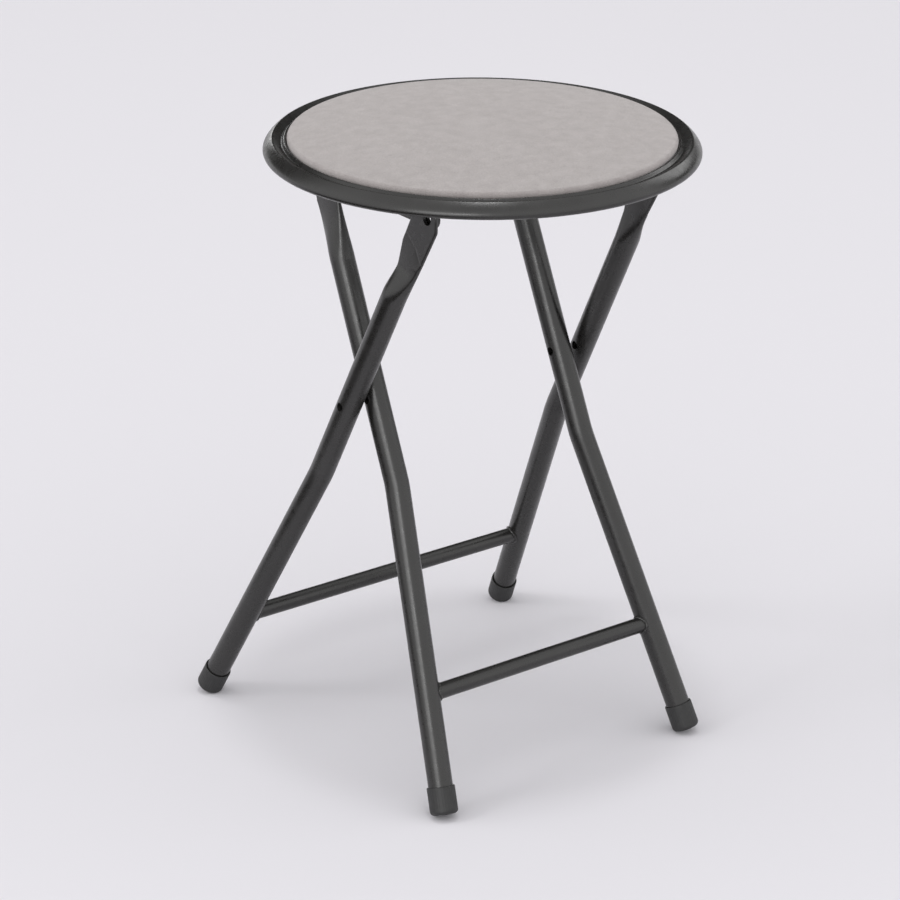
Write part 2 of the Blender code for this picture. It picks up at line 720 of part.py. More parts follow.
def add_rail(name, side, parent):
    """An angle rail under the pan, with its screws."""
    rail = mesh_object(plate_mesh(rail_outline(), RAIL_SHEET), 1, (side * (RAIL_OUTER_X + RAIL_INNER_X) / 2, 0, 0))
    xs = sorted((side * FLANGE_X, side * (RAIL_OUTER_X + RAIL_INNER_X) / 2))
    low = (xs[0], HINGE.y - RAIL_BEFORE_HINGE / 2, FLANGE_BOTTOM)
    high = (xs[1], ROD.y + RAIL_BEYOND_ROD * 0.8, FLANGE_TOP)
    boolean(rail, box(low, high), "UNION")
    ends = (side * (RAIL_INNER_X - RAIL_SHEET), side * (RAIL_OUTER_X + RAIL_SHEET))
    boolean(rail, cross_cylinder(HINGE, *ends, hole_radius(HINGE_TUBE_RADIUS, TUBE_SIDES), TUBE_SIDES))
    bearing = FLANGE_BOTTOM - SEAT_GAP
    profile = [
        (0, SCREW_TOP),
        (SCREW_RADIUS, SCREW_TOP),
        (SCREW_RADIUS, bearing),
        (SCREW_HEAD_RADIUS, bearing),
        (SCREW_HEAD_RADIUS, bearing - SCREW_HEAD_HEIGHT / 2),
        (0.7 * SCREW_HEAD_RADIUS, bearing - SCREW_HEAD_HEIGHT),
        (0, bearing - SCREW_HEAD_HEIGHT),
    ]
    for number, place in enumerate(screw_places(), 1):
        place = Vector((side * place.x, place.y, 0))
        bore = hole_radius(SCREW_RADIUS, SCREW_SIDES)
        boolean(rail, upright_cylinder(place, bearing - SEAT_GAP, UNDERSIDE_HEIGHT, bore))
        screw = turned(profile, SCREW_SIDES)
        screw.location = place
        keep(screw, f"rail_screw_{name}_{number}", BARE_STEEL, parent)
    keep(rail, f"seat_rail_{name}", BLACK_COAT, parent)


def drill_for_screws(obj, low, high):
    for side in SIDES.values():
        for place in screw_places():
            place = Vector((side * place.x, place.y, 0))
            boolean(obj, upright_cylinder(place, low, high, hole_radius(SCREW_RADIUS, SCREW_SIDES)))


def shell(profile, steps, thickness):
    """A turned sheet whose given profile is its outer side."""
    obj = turned(profile, steps)
    obj.location = (0, SEAT_Y, 0)
    solidify = obj.modifiers.new("sheet", "SOLIDIFY")
    solidify.thickness = thickness
    solidify.offset = -1
    solidify.use_even_offset = True
    return obj


def add_pan(parent):
    """The pressed pan: floor, wall, small lip, sloping shelf and the rolled rim."""
    crest_radius = SEAT_RADIUS - RIM_CREST_INSET
    crest_height = UNDERSIDE_HEIGHT + RIM_CREST_RISE
    widest_height = UNDERSIDE_HEIGHT + RIM_WIDEST_RISE
    shelf_top = (crest_radius - 0.4 * RIM_CREST_INSET, crest_height - 0.07 * RIM_CREST_RISE)
    shelf_foot = (shelf_top[0] - SHELF_WIDTH, shelf_top[1] - SHELF_DROP)
    lip = (shelf_foot[0] - 1.3 * LIP_RADIUS, shelf_foot[1] + LIP_RISE - LIP_RADIUS)
    wall = lip[0] - LIP_RADIUS
    hem = SEAT_RADIUS - RIM_HEM_INSET
    profile = [(0, FLOOR_TOP)]
    profile += arc((wall - FLOOR_CORNER, FLOOR_TOP + FLOOR_CORNER), FLOOR_CORNER, FLOOR_CORNER, -90, 0, 2)
    profile += arc(lip, LIP_RADIUS, LIP_RADIUS, 180, 40, 4)
    profile += [shelf_foot, shelf_top]
    profile += arc((crest_radius, widest_height), RIM_CREST_INSET, crest_height - widest_height, 90, 0, 5)
    hem_height = widest_height - UNDERSIDE_HEIGHT + RIM_HEM_DROP
    profile += arc((hem, widest_height), RIM_HEM_INSET, hem_height, -22, -90, 3)
    profile.append((hem - RIM_HEM_WIDTH, UNDERSIDE_HEIGHT - RIM_HEM_DROP + PAN_SHEET / 3))
    pan = shell(profile, RIM_STEPS, PAN_SHEET)
    drill_for_screws(pan, UNDERSIDE_HEIGHT - PAN_SHEET, FLOOR_TOP + PAN_SHEET)
    keep(pan, "seat_pan", BLACK_COAT, parent)
    return wall


def pad_top(radius, inset):
    """The crowned top and rounded shoulder of the pad, moved inwards by inset."""
    shoulder = radius - PAD_SHOULDER
    shoulder_top = PAD_BASE + PAD_HEIGHT - PAD_CROWN
    points = []
    for share in (0, 0.3, 0.55, 0.78, 0.92):
        points.append((shoulder * share, shoulder_top + PAD_CROWN * (1 - share**2) - inset))
    reach = PAD_SHOULDER - inset
    return points + arc((shoulder, shoulder_top - PAD_SHOULDER), reach, reach, 84, 0, 4)


def add_pad(wall, parent):
    """The stiff board, the foam on it and the cover wrapped round both."""
    radius = wall - PAD_CLEARANCE
    side = radius - PAD_DRAW_IN
    foot = (side - PAD_FOOT_CORNER, PAD_BASE + PAD_FOOT_CORNER)
    profile = pad_top(radius, 0)
    profile += arc(foot, PAD_FOOT_CORNER, PAD_FOOT_CORNER, 0, -90, 3)
    profile.append((foot[0] - COVER_HEM, PAD_BASE))
    keep(shell(profile, PAD_STEPS, COVER_THICKNESS), "pad_cover", FABRIC, parent)

    inset = COVER_THICKNESS + SEAT_GAP
    board_radius = side - inset - SEAT_GAP
    board_corner = (board_radius - PAD_FOOT_CORNER, BOARD_LOW + PAD_FOOT_CORNER)
    profile = [(0, BOARD_HIGH), (board_radius, BOARD_HIGH)]
    profile += arc(board_corner, PAD_FOOT_CORNER, PAD_FOOT_CORNER, 0, -90, 2)
    profile.append((0, BOARD_LOW))
    board = turned(profile, PAD_STEPS)
    board.location = (0, SEAT_Y, 0)
    drill_for_screws(board, BOARD_LOW - BOARD_THICKNESS, SCREW_TOP + SEAT_GAP)
    keep(board, "pad_board", PLYWOOD, parent)

    foam_base = BOARD_HIGH + SEAT_GAP
    profile = [point for point in pad_top(radius, inset + SEAT_GAP) if point[1] > foam_base]
    profile += [(board_radius, foam_base), (0, foam_base)]
    foam = turned(profile, PAD_STEPS)
    foam.location = (0, SEAT_Y, 0)
    keep(foam, "pad_foam", WHITE_FOAM, parent)


PAD_BASE = FLOOR_TOP + SEAT_GAP
BOARD_LOW = PAD_BASE + COVER_THICKNESS + SEAT_GAP
BOARD_HIGH = BOARD_LOW + BOARD_THICKNESS
SCREW_TOP = BOARD_LOW + SCREW_BITE

# Looks: red, green, blue, roughness, metallic
BLACK_COAT = (0.030, 0.029, 0.028, 0.38, 0.3)
BLACK_PLASTIC = (0.022, 0.022, 0.022, 0.60)
BARE_STEEL = (0.55, 0.55, 0.54, 0.35, 1.0)
FABRIC = (0.46, 0.43, 0.42, 0.90)
WHITE_FOAM = (0.80, 0.78, 0.70, 0.95)
PLYWOOD = (0.55, 0.40, 0.25, 0.70)

# Outer frame
outer_frame = axis_empty("outer_frame_axis", CROSS + Vector((0, 0, CROSS_HEIGHT)))
add_legs("outer", OUTER, HINGE, HINGE_TUBE_RADIUS, OUTER_PLATE_X, OUTER_PRESS, outer_frame)
add_rung("outer_rung", OUTER, OUTER_RUNG_HEIGHT, outer_frame)
for side_name, side_sign in SIDES.items():
    add_foot(f"outer_foot_{side_name}", OUTER, side_sign, outer_frame)
    add_cross_joint(side_name, side_sign, outer_frame)
    add_hinge(side_name, side_sign, outer_frame)

# Inner frame
inner_frame = axis_empty("inner_frame_axis", CROSS + Vector((0, 0, CROSS_HEIGHT)))
add_legs("inner", INNER, ROD, ROD_RADIUS, INNER_PLATE_X, INNER_PRESS, inner_frame)
add_rung("inner_rung", INNER, INNER_RUNG_HEIGHT, inner_frame)
for side_name, side_sign in SIDES.items():
    add_foot(f"inner_foot_{side_name}", INNER, side_sign, inner_frame)
add_hook_rod(inner_frame)

# Seat
seat = axis_empty("seat_axis", HINGE)
add_pad(add_pan(seat), seat)
for side_name, side_sign in SIDES.items():
    add_rail(side_name, side_sign, seat)
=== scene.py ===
# %% [markdown]
# A folding stool
#
# The stool has a round seat: a pressed steel pan with a rolled rim, and a thin pad in a velvet cover that
# sits inside it. The seat stands on two crossed frames of bent steel tube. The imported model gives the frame:
# every piece here is made where its solid already is, and rides on the same body.

# %% Load the frame
import json

import bmesh
import bpy
import numpy as np
from mathutils import Matrix, Vector


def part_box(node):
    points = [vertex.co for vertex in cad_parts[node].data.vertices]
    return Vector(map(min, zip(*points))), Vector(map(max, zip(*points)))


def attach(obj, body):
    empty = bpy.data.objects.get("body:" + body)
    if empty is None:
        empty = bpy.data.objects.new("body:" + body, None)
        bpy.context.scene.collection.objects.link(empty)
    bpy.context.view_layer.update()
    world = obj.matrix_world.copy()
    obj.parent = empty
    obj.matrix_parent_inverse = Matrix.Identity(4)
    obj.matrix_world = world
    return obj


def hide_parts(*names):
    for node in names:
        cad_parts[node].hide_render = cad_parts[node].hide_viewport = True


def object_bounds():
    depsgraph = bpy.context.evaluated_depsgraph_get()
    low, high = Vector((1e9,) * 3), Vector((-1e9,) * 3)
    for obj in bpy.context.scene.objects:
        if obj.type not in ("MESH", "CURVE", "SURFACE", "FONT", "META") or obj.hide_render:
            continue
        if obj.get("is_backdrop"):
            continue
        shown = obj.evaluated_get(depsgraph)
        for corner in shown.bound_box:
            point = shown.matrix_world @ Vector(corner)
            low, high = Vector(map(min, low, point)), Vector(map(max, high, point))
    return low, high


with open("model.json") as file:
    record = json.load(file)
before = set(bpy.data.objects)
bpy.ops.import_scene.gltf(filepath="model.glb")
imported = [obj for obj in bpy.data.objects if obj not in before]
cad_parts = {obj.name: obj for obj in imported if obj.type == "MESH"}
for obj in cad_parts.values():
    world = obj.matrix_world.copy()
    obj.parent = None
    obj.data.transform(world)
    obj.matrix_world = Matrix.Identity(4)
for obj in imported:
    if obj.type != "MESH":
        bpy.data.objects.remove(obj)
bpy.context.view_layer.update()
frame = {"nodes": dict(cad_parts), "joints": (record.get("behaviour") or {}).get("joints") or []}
pivots = {joint["name"]: np.array(joint["pos_m"]) for joint in frame["joints"]}
CROSS = pivots["cross_pivot"]
HINGE = pivots["seat_fold"]
pan_low, pan_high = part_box("seat_pan")
SEAT_CENTRE = np.array([0.0, (pan_low.y + pan_high.y) / 2, 0.0])
rod_low, rod_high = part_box("hook_rod")
ROD = np.array([0.0, (rod_low.y + rod_high.y) / 2, (rod_low.z + rod_high.z) / 2])
MM = 0.001
print("nodes", len(frame["nodes"]), "cross", CROSS, "hinge", HINGE, "rod", ROD.round(4))

# %% [markdown]
# Every new piece is a grid of points. The rows run along a path or a profile and the columns run round it,
# so one helper can turn any such grid into a mesh. It closes the seams and the poles, and turns the faces
# outwards.


# %% From a grid of points to a mesh
def grid_faces(rows, columns, wrap_rows):
    """Four corner numbers per face: each point with its neighbours in the next row and the next column."""
    row = np.arange(rows if wrap_rows else rows - 1)
    column = np.arange(columns)
    first = (row[:, None] * columns + column).ravel()
    beside = (row[:, None] * columns + (column + 1) % columns).ravel()
    above = (((row + 1) % rows)[:, None] * columns + column).ravel()
    above_beside = (((row + 1) % rows)[:, None] * columns + (column + 1) % columns).ravel()
    return np.stack([first, beside, above_beside, above], axis=1)


def tidy_mesh(mesh, sharp_degrees=40):
    """Merges doubled points, points the faces outwards, and shades smoothly between sharp edges."""
    work = bmesh.new()
    work.from_mesh(mesh)
    bmesh.ops.remove_doubles(work, verts=work.verts, dist=1e-6)
    bmesh.ops.recalc_face_normals(work, faces=work.faces)
    work.to_mesh(mesh)
    work.free()
    mesh.shade_smooth()
    mesh.set_sharp_from_angle(angle=np.radians(sharp_degrees))


def grid_object(name, points, wrap_rows=False, sharp_degrees=40):
    """A mesh object from points of shape (rows, columns, 3), with the columns joined into rings."""
    rows, columns, _ = points.shape
    mesh = bpy.data.meshes.new(name)
    mesh.from_pydata(points.reshape(-1, 3).tolist(), [], grid_faces(rows, columns, wrap_rows).tolist())
    tidy_mesh(mesh, sharp_degrees)
    piece = bpy.data.objects.new(name, mesh)
    bpy.context.scene.collection.objects.link(piece)
    return piece


print("a 3 by 4 grid has", len(grid_faces(3, 4, False)), "faces")

# %% [markdown]
# Turned pieces are a profile carried round an axis: the pan, the caps, the rivets and the washers. Real
# edges are never razor sharp, so a second helper rounds the corners of a profile.


# %% Turned pieces
def turn(profile, steps, ripple=None):
    """Each profile point (radius, height) becomes a ring: (radius cos a, radius sin a, height)."""
    angle = np.linspace(0, 2 * np.pi, steps, endpoint=False)
    radius = profile[:, :1] * (1 if ripple is None else ripple(angle, profile))
    return np.stack([radius * np.cos(angle), radius * np.sin(angle), profile[:, 1:] + 0 * angle], axis=-1)


def place(points, origin, axis, start=(1, 0, 0)):
    """Moves points from their own axes to an origin, with their z along axis and their x towards start.

    Start must not lie along axis: x is then zero, its division gives NaN, and the piece has no shape.
    """
    axis = np.array(axis, float) / np.linalg.norm(axis)
    x = np.array(start, float) - np.dot(start, axis) * axis
    x /= np.linalg.norm(x)
    y = np.cross(axis, x)
    return np.array(origin) + points[..., :1] * x + points[..., 1:2] * y + points[..., 2:] * axis


def round_corners(corners, radii, steps=5):
    """Swaps each inner corner for an arc of its radius that touches both of its sides."""
    corners = np.array(corners, float)
    made = [corners[:1]]
    for before, corner, after, radius in zip(corners, corners[1:], corners[2:], radii):
        back = (before - corner) / np.linalg.norm(before - corner)
        ahead = (after - corner) / np.linalg.norm(after - corner)
        half = np.arccos(np.clip(back @ ahead, -1, 1)) / 2
        if radius <= 0 or half > 1.55:
            made.append(corner[None])
            continue
        centre = corner + (back + ahead) / np.linalg.norm(back + ahead) * radius / np.sin(half)
        start = corner + back * radius / np.tan(half) - centre
        end = corner + ahead * radius / np.tan(half) - centre
        share = np.linspace(0, 1, steps + 1)[:, None]
        sweep = np.pi - 2 * half
        turned = np.sin((1 - share) * sweep) * start + np.sin(share * sweep) * end
        made.append(centre + turned / np.sin(sweep))
    return np.vstack([*made, corners[-1:]])


print("a rounded square corner has", len(round_corners([(0, 0), (1, 0), (1, 1)], [0.2])), "points")

# %% [markdown]
# Colours are written as they look, in sRGB hex, and one function turns them to the linear values that
# Blender's shaders expect. A second one adds a shader node with its settings and its links.


# %% Colours and shader nodes
def linear(hex_colour):
    """sRGB hex to linear red, green, blue and alpha."""
    value = np.array([int(hex_colour[i : i + 2], 16) for i in (1, 3, 5)]) / 255
    value = np.where(value <= 0.04045, value / 12.92, ((value + 0.055) / 1.055) ** 2.4)
    return (*value.tolist(), 1.0)


def add_node(tree, kind, settings=(), **links):
    """Adds a node. Settings are attributes or socket values, and links are sockets fed from outputs."""
    node = tree.nodes.new(kind)
    for key, value in dict(settings).items():
        if isinstance(key, str) and hasattr(node, key):
            setattr(node, key, value)
        else:
            node.inputs[key].default_value = value
    for key, output in links.items():
        tree.links.new(output, node.inputs[key.replace("_", " ")])
    return node


def new_material(name, hex_colour, roughness, metallic=0.0, **sockets):
    """A material with a Principled shader, its constants set on the shader's own sockets."""
    material = bpy.data.materials.new(name)
    material.use_nodes = True
    tree = material.node_tree
    shader = tree.nodes["Principled BSDF"]
    shader.inputs["Base Color"].default_value = linear(hex_colour)
    shader.inputs["Roughness"].default_value = roughness
    shader.inputs["Metallic"].default_value = metallic
    for key, value in sockets.items():
        shader.inputs[key.replace("_", " ")].default_value = value
    place_of = add_node(tree, "ShaderNodeTexCoord").outputs["Object"]
    return material, tree, shader, place_of


def ramp(tree, factor, stops):
    """A colour ramp of (position, hex colour) stops."""
    node = add_node(tree, "ShaderNodeValToRGB", Fac=factor)
    elements = node.color_ramp.elements
    while len(elements) < len(stops):
        elements.new(0.5)
    for element, (position, colour) in zip(elements, stops):
        element.position = position
        element.color = linear(colour)
    return node.outputs["Color"]


def noise(tree, place_of, size_mm, detail=2.0, stretch=(1, 1, 1)):
    """Noise whose blobs are about size_mm across, in metres' space."""
    scaled = add_node(tree, "ShaderNodeMapping", {"Scale": stretch}, Vector=place_of).outputs["Vector"]
    settings = {"Scale": 1000 / size_mm, "Detail": detail}
    return add_node(tree, "ShaderNodeTexNoise", settings, Vector=scaled).outputs["Fac"]


print("mid grey is", round(linear("#808080")[0], 3))

# %% [markdown]
# The frame and the pan are mild steel with a black powder coat, stoved to a satin skin. Powder flows out
# into a faint orange peel, with humps about 1 mm across, and its gloss varies a little from place to place.
# Black powder takes little light in, so what the eye sees is mostly the skin's own soft reflections.


# %% Powder-coated steel
POWDER_GRAIN_MM = 0.9
powder, tree, shader, where = new_material("powder_coated_steel", "#1F1E1D", 0.30, Specular_IOR_Level=0.6)
tone = ramp(tree, noise(tree, where, 24, 3), [(0.3, "#1C1B1A"), (0.7, "#222120")])
tree.links.new(tone, shader.inputs["Base Color"])
gloss = add_node(
    tree,
    "ShaderNodeMapRange",
    {"From Min": 0.3, "From Max": 0.7, "To Min": 0.24, "To Max": 0.33},
    Value=noise(tree, where, 6, 3),
).outputs["Result"]
tree.links.new(gloss, shader.inputs["Roughness"])
peel = add_node(
    tree,
    "ShaderNodeBump",
    {"Strength": 0.12, "Distance": 0.0001},
    Height=noise(tree, where, POWDER_GRAIN_MM, 2),
).outputs["Normal"]
tree.links.new(peel, shader.inputs["Normal"])
print("made", powder.name)

# %% [markdown]
# The foot caps, spacers and thin washers are low-density polyethylene, moulded in a lightly blasted tool: a
# soft, matte black with a fine even grain.

# %% Moulded polyethylene
polythene, tree, shader, where = new_material("moulded_polyethylene", "#262626", 0.5, Specular_IOR_Level=0.45)
tone = ramp(tree, noise(tree, where, 3, 3), [(0.3, "#232323"), (0.7, "#2B2B2B")])
tree.links.new(tone, shader.inputs["Base Color"])
grain = add_node(
    tree,
    "ShaderNodeBump",
    {"Strength": 0.25, "Distance": 0.0001},
    Height=noise(tree, where, 0.5, 2),
).outputs["Normal"]
tree.links.new(grain, shader.inputs["Normal"])
print("made", polythene.name)

# %% [markdown]
# The rod, its collars and the screws are bright zinc plate: a pale metal, clouded where the passivation is
# uneven.

# %% Zinc-plated steel
zinc, tree, shader, where = new_material("zinc_plated_steel", "#B9BABC", 0.34, metallic=1.0)
tone = ramp(tree, noise(tree, where, 4, 3), [(0.3, "#AEB0B2"), (0.7, "#C6C6C4")])
tree.links.new(tone, shader.inputs["Base Color"])
print("made", zinc.name)

# %% [markdown]
# The cover is a short-pile polyester velvet, and brushing leaves soft patches of slightly different tone. A
# slanting look meets the pale sides of the pile's fibres and a straight look the darker roots; Layer Weight
# paints this into the base colour as painted sheen and painted shade, so face-on parts such as the pad's side
# come out darker.

# %% Velvet
# The real tufts are finer than a pixel, so they are drawn this coarse to show at all.
PILE_MM = 0.8
PATCH_MM = 9
# Painted sheen: base colour tones by viewing angle, darker face on, lighter at a slant, darker again at
# grazing.
PAINTED_SHEEN_TONES = [
    (0.0, "#A6A09F"),
    (0.3, "#AEA8A7"),
    (0.6, "#B6B0AF"),
    (0.8, "#B8B1B0"),
    (0.95, "#A8A2A0"),
]
velvet, tree, shader, where = new_material(
    "polyester_velvet", "#B5AFAD", 0.95, Specular_IOR_Level=0.1, Sheen_Weight=0.35, Sheen_Roughness=0.5
)
facing = add_node(tree, "ShaderNodeLayerWeight", {"Blend": 0.5}).outputs["Facing"]
# Painted sheen and shade: the base colour follows the viewing angle, then brushed patches and tufts multiply
# in.
painted_sheen_and_tone = ramp(tree, facing, PAINTED_SHEEN_TONES)
brushed = noise(tree, where, PATCH_MM, 5)
fibres = noise(tree, where, PILE_MM, 3)
patches = ramp(tree, brushed, [(0.3, "#EFEEEE"), (0.7, "#FFFFFF")])
tufts = ramp(tree, fibres, [(0.25, "#DAD9D8"), (0.75, "#FFFFFF")])
for layer in (patches, tufts):
    mixed = add_node(tree, "ShaderNodeMix", {"data_type": "RGBA", "blend_type": "MULTIPLY"})
    mixed.inputs[0].default_value = 1.0
    tree.links.new(painted_sheen_and_tone, mixed.inputs[6])
    tree.links.new(layer, mixed.inputs[7])
    painted_sheen_and_tone = mixed.outputs[2]
tree.links.new(painted_sheen_and_tone, shader.inputs["Base Color"])
fuzz = add_node(tree, "ShaderNodeBump", {"Strength": 0.5, "Distance": 0.0004}, Height=fibres)
tree.links.new(fuzz.outputs["Normal"], shader.inputs["Normal"])
print("made", velvet.name)

# %% [markdown]
# Two more materials stay inside the seat: the upholstery foam and the birch plywood board.

# %% Foam and plywood
foam, tree, shader, where = new_material("polyurethane_foam", "#E4DFCF", 0.95)
tree.links.new(
    ramp(tree, noise(tree, where, 1.2, 2), [(0.3, "#D6D0BE"), (0.7, "#EFEBDD")]), shader.inputs["Base Color"]
)
plywood, tree, shader, where = new_material("birch_plywood", "#C2A277", 0.6)
tree.links.new(
    ramp(tree, noise(tree, where, 5, 4, (0.08, 1, 1)), [(0.3, "#B08E62"), (0.7, "#D2B68C")]),
    shader.inputs["Base Color"],
)
print("made", foam.name, plywood.name)

# %% [markdown]
# A finished piece has a material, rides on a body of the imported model, and names the solid that it stands
# for, so that the solid is hidden and only the new surface shows.


# %% Finish a piece
def finish_piece(piece, material, body, slot, *nodes):
    """Gives a piece its material and its body, and hides the nodes that it stands for; the slot is not used.
    """
    piece.data.materials.append(material)
    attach(piece, body)
    if nodes:
        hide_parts(*nodes)
    print(piece.name, len(piece.data.polygons), "faces")


# %% [markdown]
# A leg is one length of tube. Seen from the side it is straight, seen from the front it leans in a little
# above the crossing and is bent outwards below it. Its top is pressed to a flat plate in a die, with a
# rounded nose where the pivot goes through. So a leg is a path, and a section that changes along it from a
# circle to a flat oval.

# %% Sizes of the legs
TUBE_RADIUS = 8.7 * MM
BEND_RADIUS = 100 * MM
PLATE_HALF_THICKNESS = 1.2 * MM
EDGE_SHARE = np.radians(36)
CAP_RADIUS = 9.9 * MM
CAP_CORNER = 3.0 * MM
CAP_LENGTH = 19.5 * MM
CAP_INSIDE = 3.8 * MM
OUTER = {
    "half_spacing": 103.0 * MM,
    "tilt": np.radians(27.8),
    "lean": np.radians(1.7),
    "splay": np.radians(7.8),
    "bend_below": 69.0 * MM,
    "back": -1,
    "joint": HINGE,
    "plate_inset": 1.5 * MM,
    "nose_radius": 9.9 * MM,
    "nose_shoulder": 2.8 * MM,
    "hole_radius": 4.52 * MM,
    "front_widths": ([71, 35, 3], [8.7, 10.7, 12.5]),
    "rear_widths": ([71, 50, 31], [8.7, 10.1, 14.4]),
    "dent_ends": [38.0, 44.0, 46.0],
    "creases": [35.5, 27.5, 24.0],
    "fold": 0.22 * MM,
}
INNER = {
    "half_spacing": 80.7 * MM,
    "tilt": np.radians(24.74),
    "lean": np.radians(0.62),
    "splay": np.radians(7.0),
    "bend_below": 62.3 * MM,
    "back": 1,
    "joint": ROD,
    "plate_inset": 0.0,
    "nose_radius": 9.0 * MM,
    "nose_shoulder": 7.4 * MM,
    "hole_radius": 4.15 * MM,
    "front_widths": ([73, 27], [8.7, 13.6]),
    "rear_widths": ([73, 27], [8.7, 13.6]),
    "dent_ends": [27.0, 27.0, 27.0],
    "creases": [26.0, 26.0, 26.0],
    "fold": 0.0,
}


def leg_axes(leg):
    """Unit directions up the leg, across it in the side view, and down its splayed lower run."""
    back, tilt = leg["back"], leg["tilt"]
    up = np.array([0, back * np.sin(tilt), np.cos(tilt)])
    across = np.array([0, np.cos(tilt), -back * np.sin(tilt)])
    down = np.array([np.tan(leg["splay"]), -up[1], -up[2]])
    return up, across, down / np.linalg.norm(down)


def upper_point(leg, s):
    """A point s metres up the leg from the cross rivet: s times the upward direction, leaning inwards."""
    up = leg_axes(leg)[0]
    s = np.asarray(s, float)[..., None]
    lean = np.array([np.tan(leg["lean"]), 0, 0])
    return CROSS + [leg["half_spacing"], 0, 0] + s * (up - lean)


def lower_point(leg, height):
    """The point of the lower run at a height."""
    corner = upper_point(leg, -leg["bend_below"])
    down = leg_axes(leg)[2]
    return corner + down * (corner[2] - height) / -down[2]


def cap_end(leg):
    """The centre of the cap's flat end: its rounded edge, a torus, has its lowest point on the floor."""
    down = leg_axes(leg)[2]
    slant = np.sqrt(1 - down[2] ** 2)
    return lower_point(leg, (CAP_RADIUS - CAP_CORNER) * slant + CAP_CORNER) + down * CAP_CORNER


print("outer cap ends at", cap_end(OUTER).round(4), "inner", cap_end(INNER).round(4))

# %% [markdown]
# The path of a leg: the straight lower run, the arc of the bend, and the straight upper run, whose rings
# lie closer together where the tube is pressed. The plate's end is a shoulder, a straight cut, and an arc
# round the joint.


# %% Path of a leg
def nose(leg):
    """Lengths above the joint and the limits that they set on the half width."""
    radius, drop = leg["nose_radius"], leg["nose_shoulder"]
    width = np.interp(drop / MM, leg["front_widths"][0][::-1], leg["front_widths"][1][::-1]) * MM
    tangent = np.arctan2(-drop, width) + np.arccos(radius / np.hypot(width, drop))
    touch = np.array([radius * np.cos(tangent), radius * np.sin(tangent)])
    corner = np.array([width, -drop])
    cut = corner + (touch - corner) * np.linspace(0.12, 0.9, 9)[:, None]
    angle = np.linspace(tangent, np.radians(87), 24)
    arc_points = np.stack([radius * np.cos(angle), radius * np.sin(angle)], axis=1)
    outline = np.vstack([[corner + [0.1 * MM, -1.2 * MM], corner + [-0.1 * MM, -0.3 * MM]], cut, arc_points])
    return outline[:, 1], np.maximum(outline[:, 0], 1.02 * PLATE_HALF_THICKNESS)


def leg_path(leg):
    """Centres of the leg's rings, their lengths below the joint, and the limits of the half width."""
    up, _, down = leg_axes(leg)
    corner = upper_point(leg, -leg["bend_below"])
    upward = upper_point(leg, 0) - corner
    upward /= np.linalg.norm(upward)
    sweep = np.pi - np.arccos(upward @ down)
    reach = BEND_RADIUS * np.tan(sweep / 2)
    start, end = corner + down * reach, corner + upward * reach
    centre = corner + (upward + down) / np.linalg.norm(upward + down) * BEND_RADIUS / np.cos(sweep / 2)
    share = np.linspace(0, 1, 22)[1:-1, None]
    turned = np.sin((1 - share) * sweep) * (start - centre) + np.sin(share * sweep) * (end - centre)
    bend = centre + turned / np.sin(sweep)
    foot = cap_end(leg) - down * CAP_INSIDE
    lower = foot + np.linspace(0, 1, 12)[:, None] * (start - foot)
    joint_s = (leg["joint"][2] - CROSS[2]) / up[2]
    press_from = leg["front_widths"][0][0] * MM
    above, limit = nose(leg)
    s_upper = np.linspace((end - CROSS) @ up, joint_s - press_from, 12, endpoint=False)
    s_press = np.linspace(joint_s - press_from, joint_s + above[0] - 0.5 * MM, 130)
    s = np.concatenate([s_upper, s_press, joint_s + above])
    centres = np.vstack([lower, bend, upper_point(leg, s)])
    below = np.concatenate([np.full(len(lower) + len(bend), 1.0), joint_s - s])
    limits = np.concatenate([np.full(len(below) - len(limit), 1.0), limit])
    return centres, below, limits, joint_s


print("rings of an outer leg", len(leg_path(OUTER)[0]))

# %% [markdown]
# The section: each point of the circle has a partner on the flat oval, and the pressing moves it there. The
# die dents the face along a ramp that ends sooner at one edge than at the other. Above the ramp the face
# runs on gently to a slanting crease, a fine fold line, and beyond it the plate is flat.


# %% Section of a leg
def oval(angle, half_width):
    """The flat oval's point for a tube angle: the 72 degrees at each edge curl round it, the rest is flat."""
    straight = half_width - PLATE_HALF_THICKNESS
    fold = np.arccos(np.clip(np.cos(angle), -1, 1))
    from_edge = np.minimum(fold, np.pi - fold)
    end = np.where(fold < np.pi / 2, 1, -1)
    face = np.where(np.sin(angle) >= 0, 1, -1)
    curl = np.clip(from_edge / EDGE_SHARE, 0, 1) * np.pi / 2
    along = np.clip((np.pi / 2 - from_edge) / (np.pi / 2 - EDGE_SHARE), 0, 1)
    across = end * (straight * along + PLATE_HALF_THICKNESS * np.cos(curl))
    return across, face * PLATE_HALF_THICKNESS * np.sin(curl)


def at_place(front_middle_rear, place):
    """The value at a place across the tube, from -1 at the front edge to 1 at the rear edge."""
    return np.interp(place, [-1, 0, 1], front_middle_rear) * MM


def flatness(leg, below, place):
    """0 on the tube to 0.88 at the end of the dent, in an S curve, then straight on to 1 at the crease."""
    start = leg["front_widths"][0][0] * MM
    dent_end, crease = at_place(leg["dent_ends"], place), at_place(leg["creases"], place)
    dented = np.clip((start - below) / (start - dent_end), 0, 1)
    gentle = np.clip((dent_end - below) / (dent_end - crease), 0, 1)
    return 0.88 * dented**2 * (3 - 2 * dented) + 0.12 * gentle


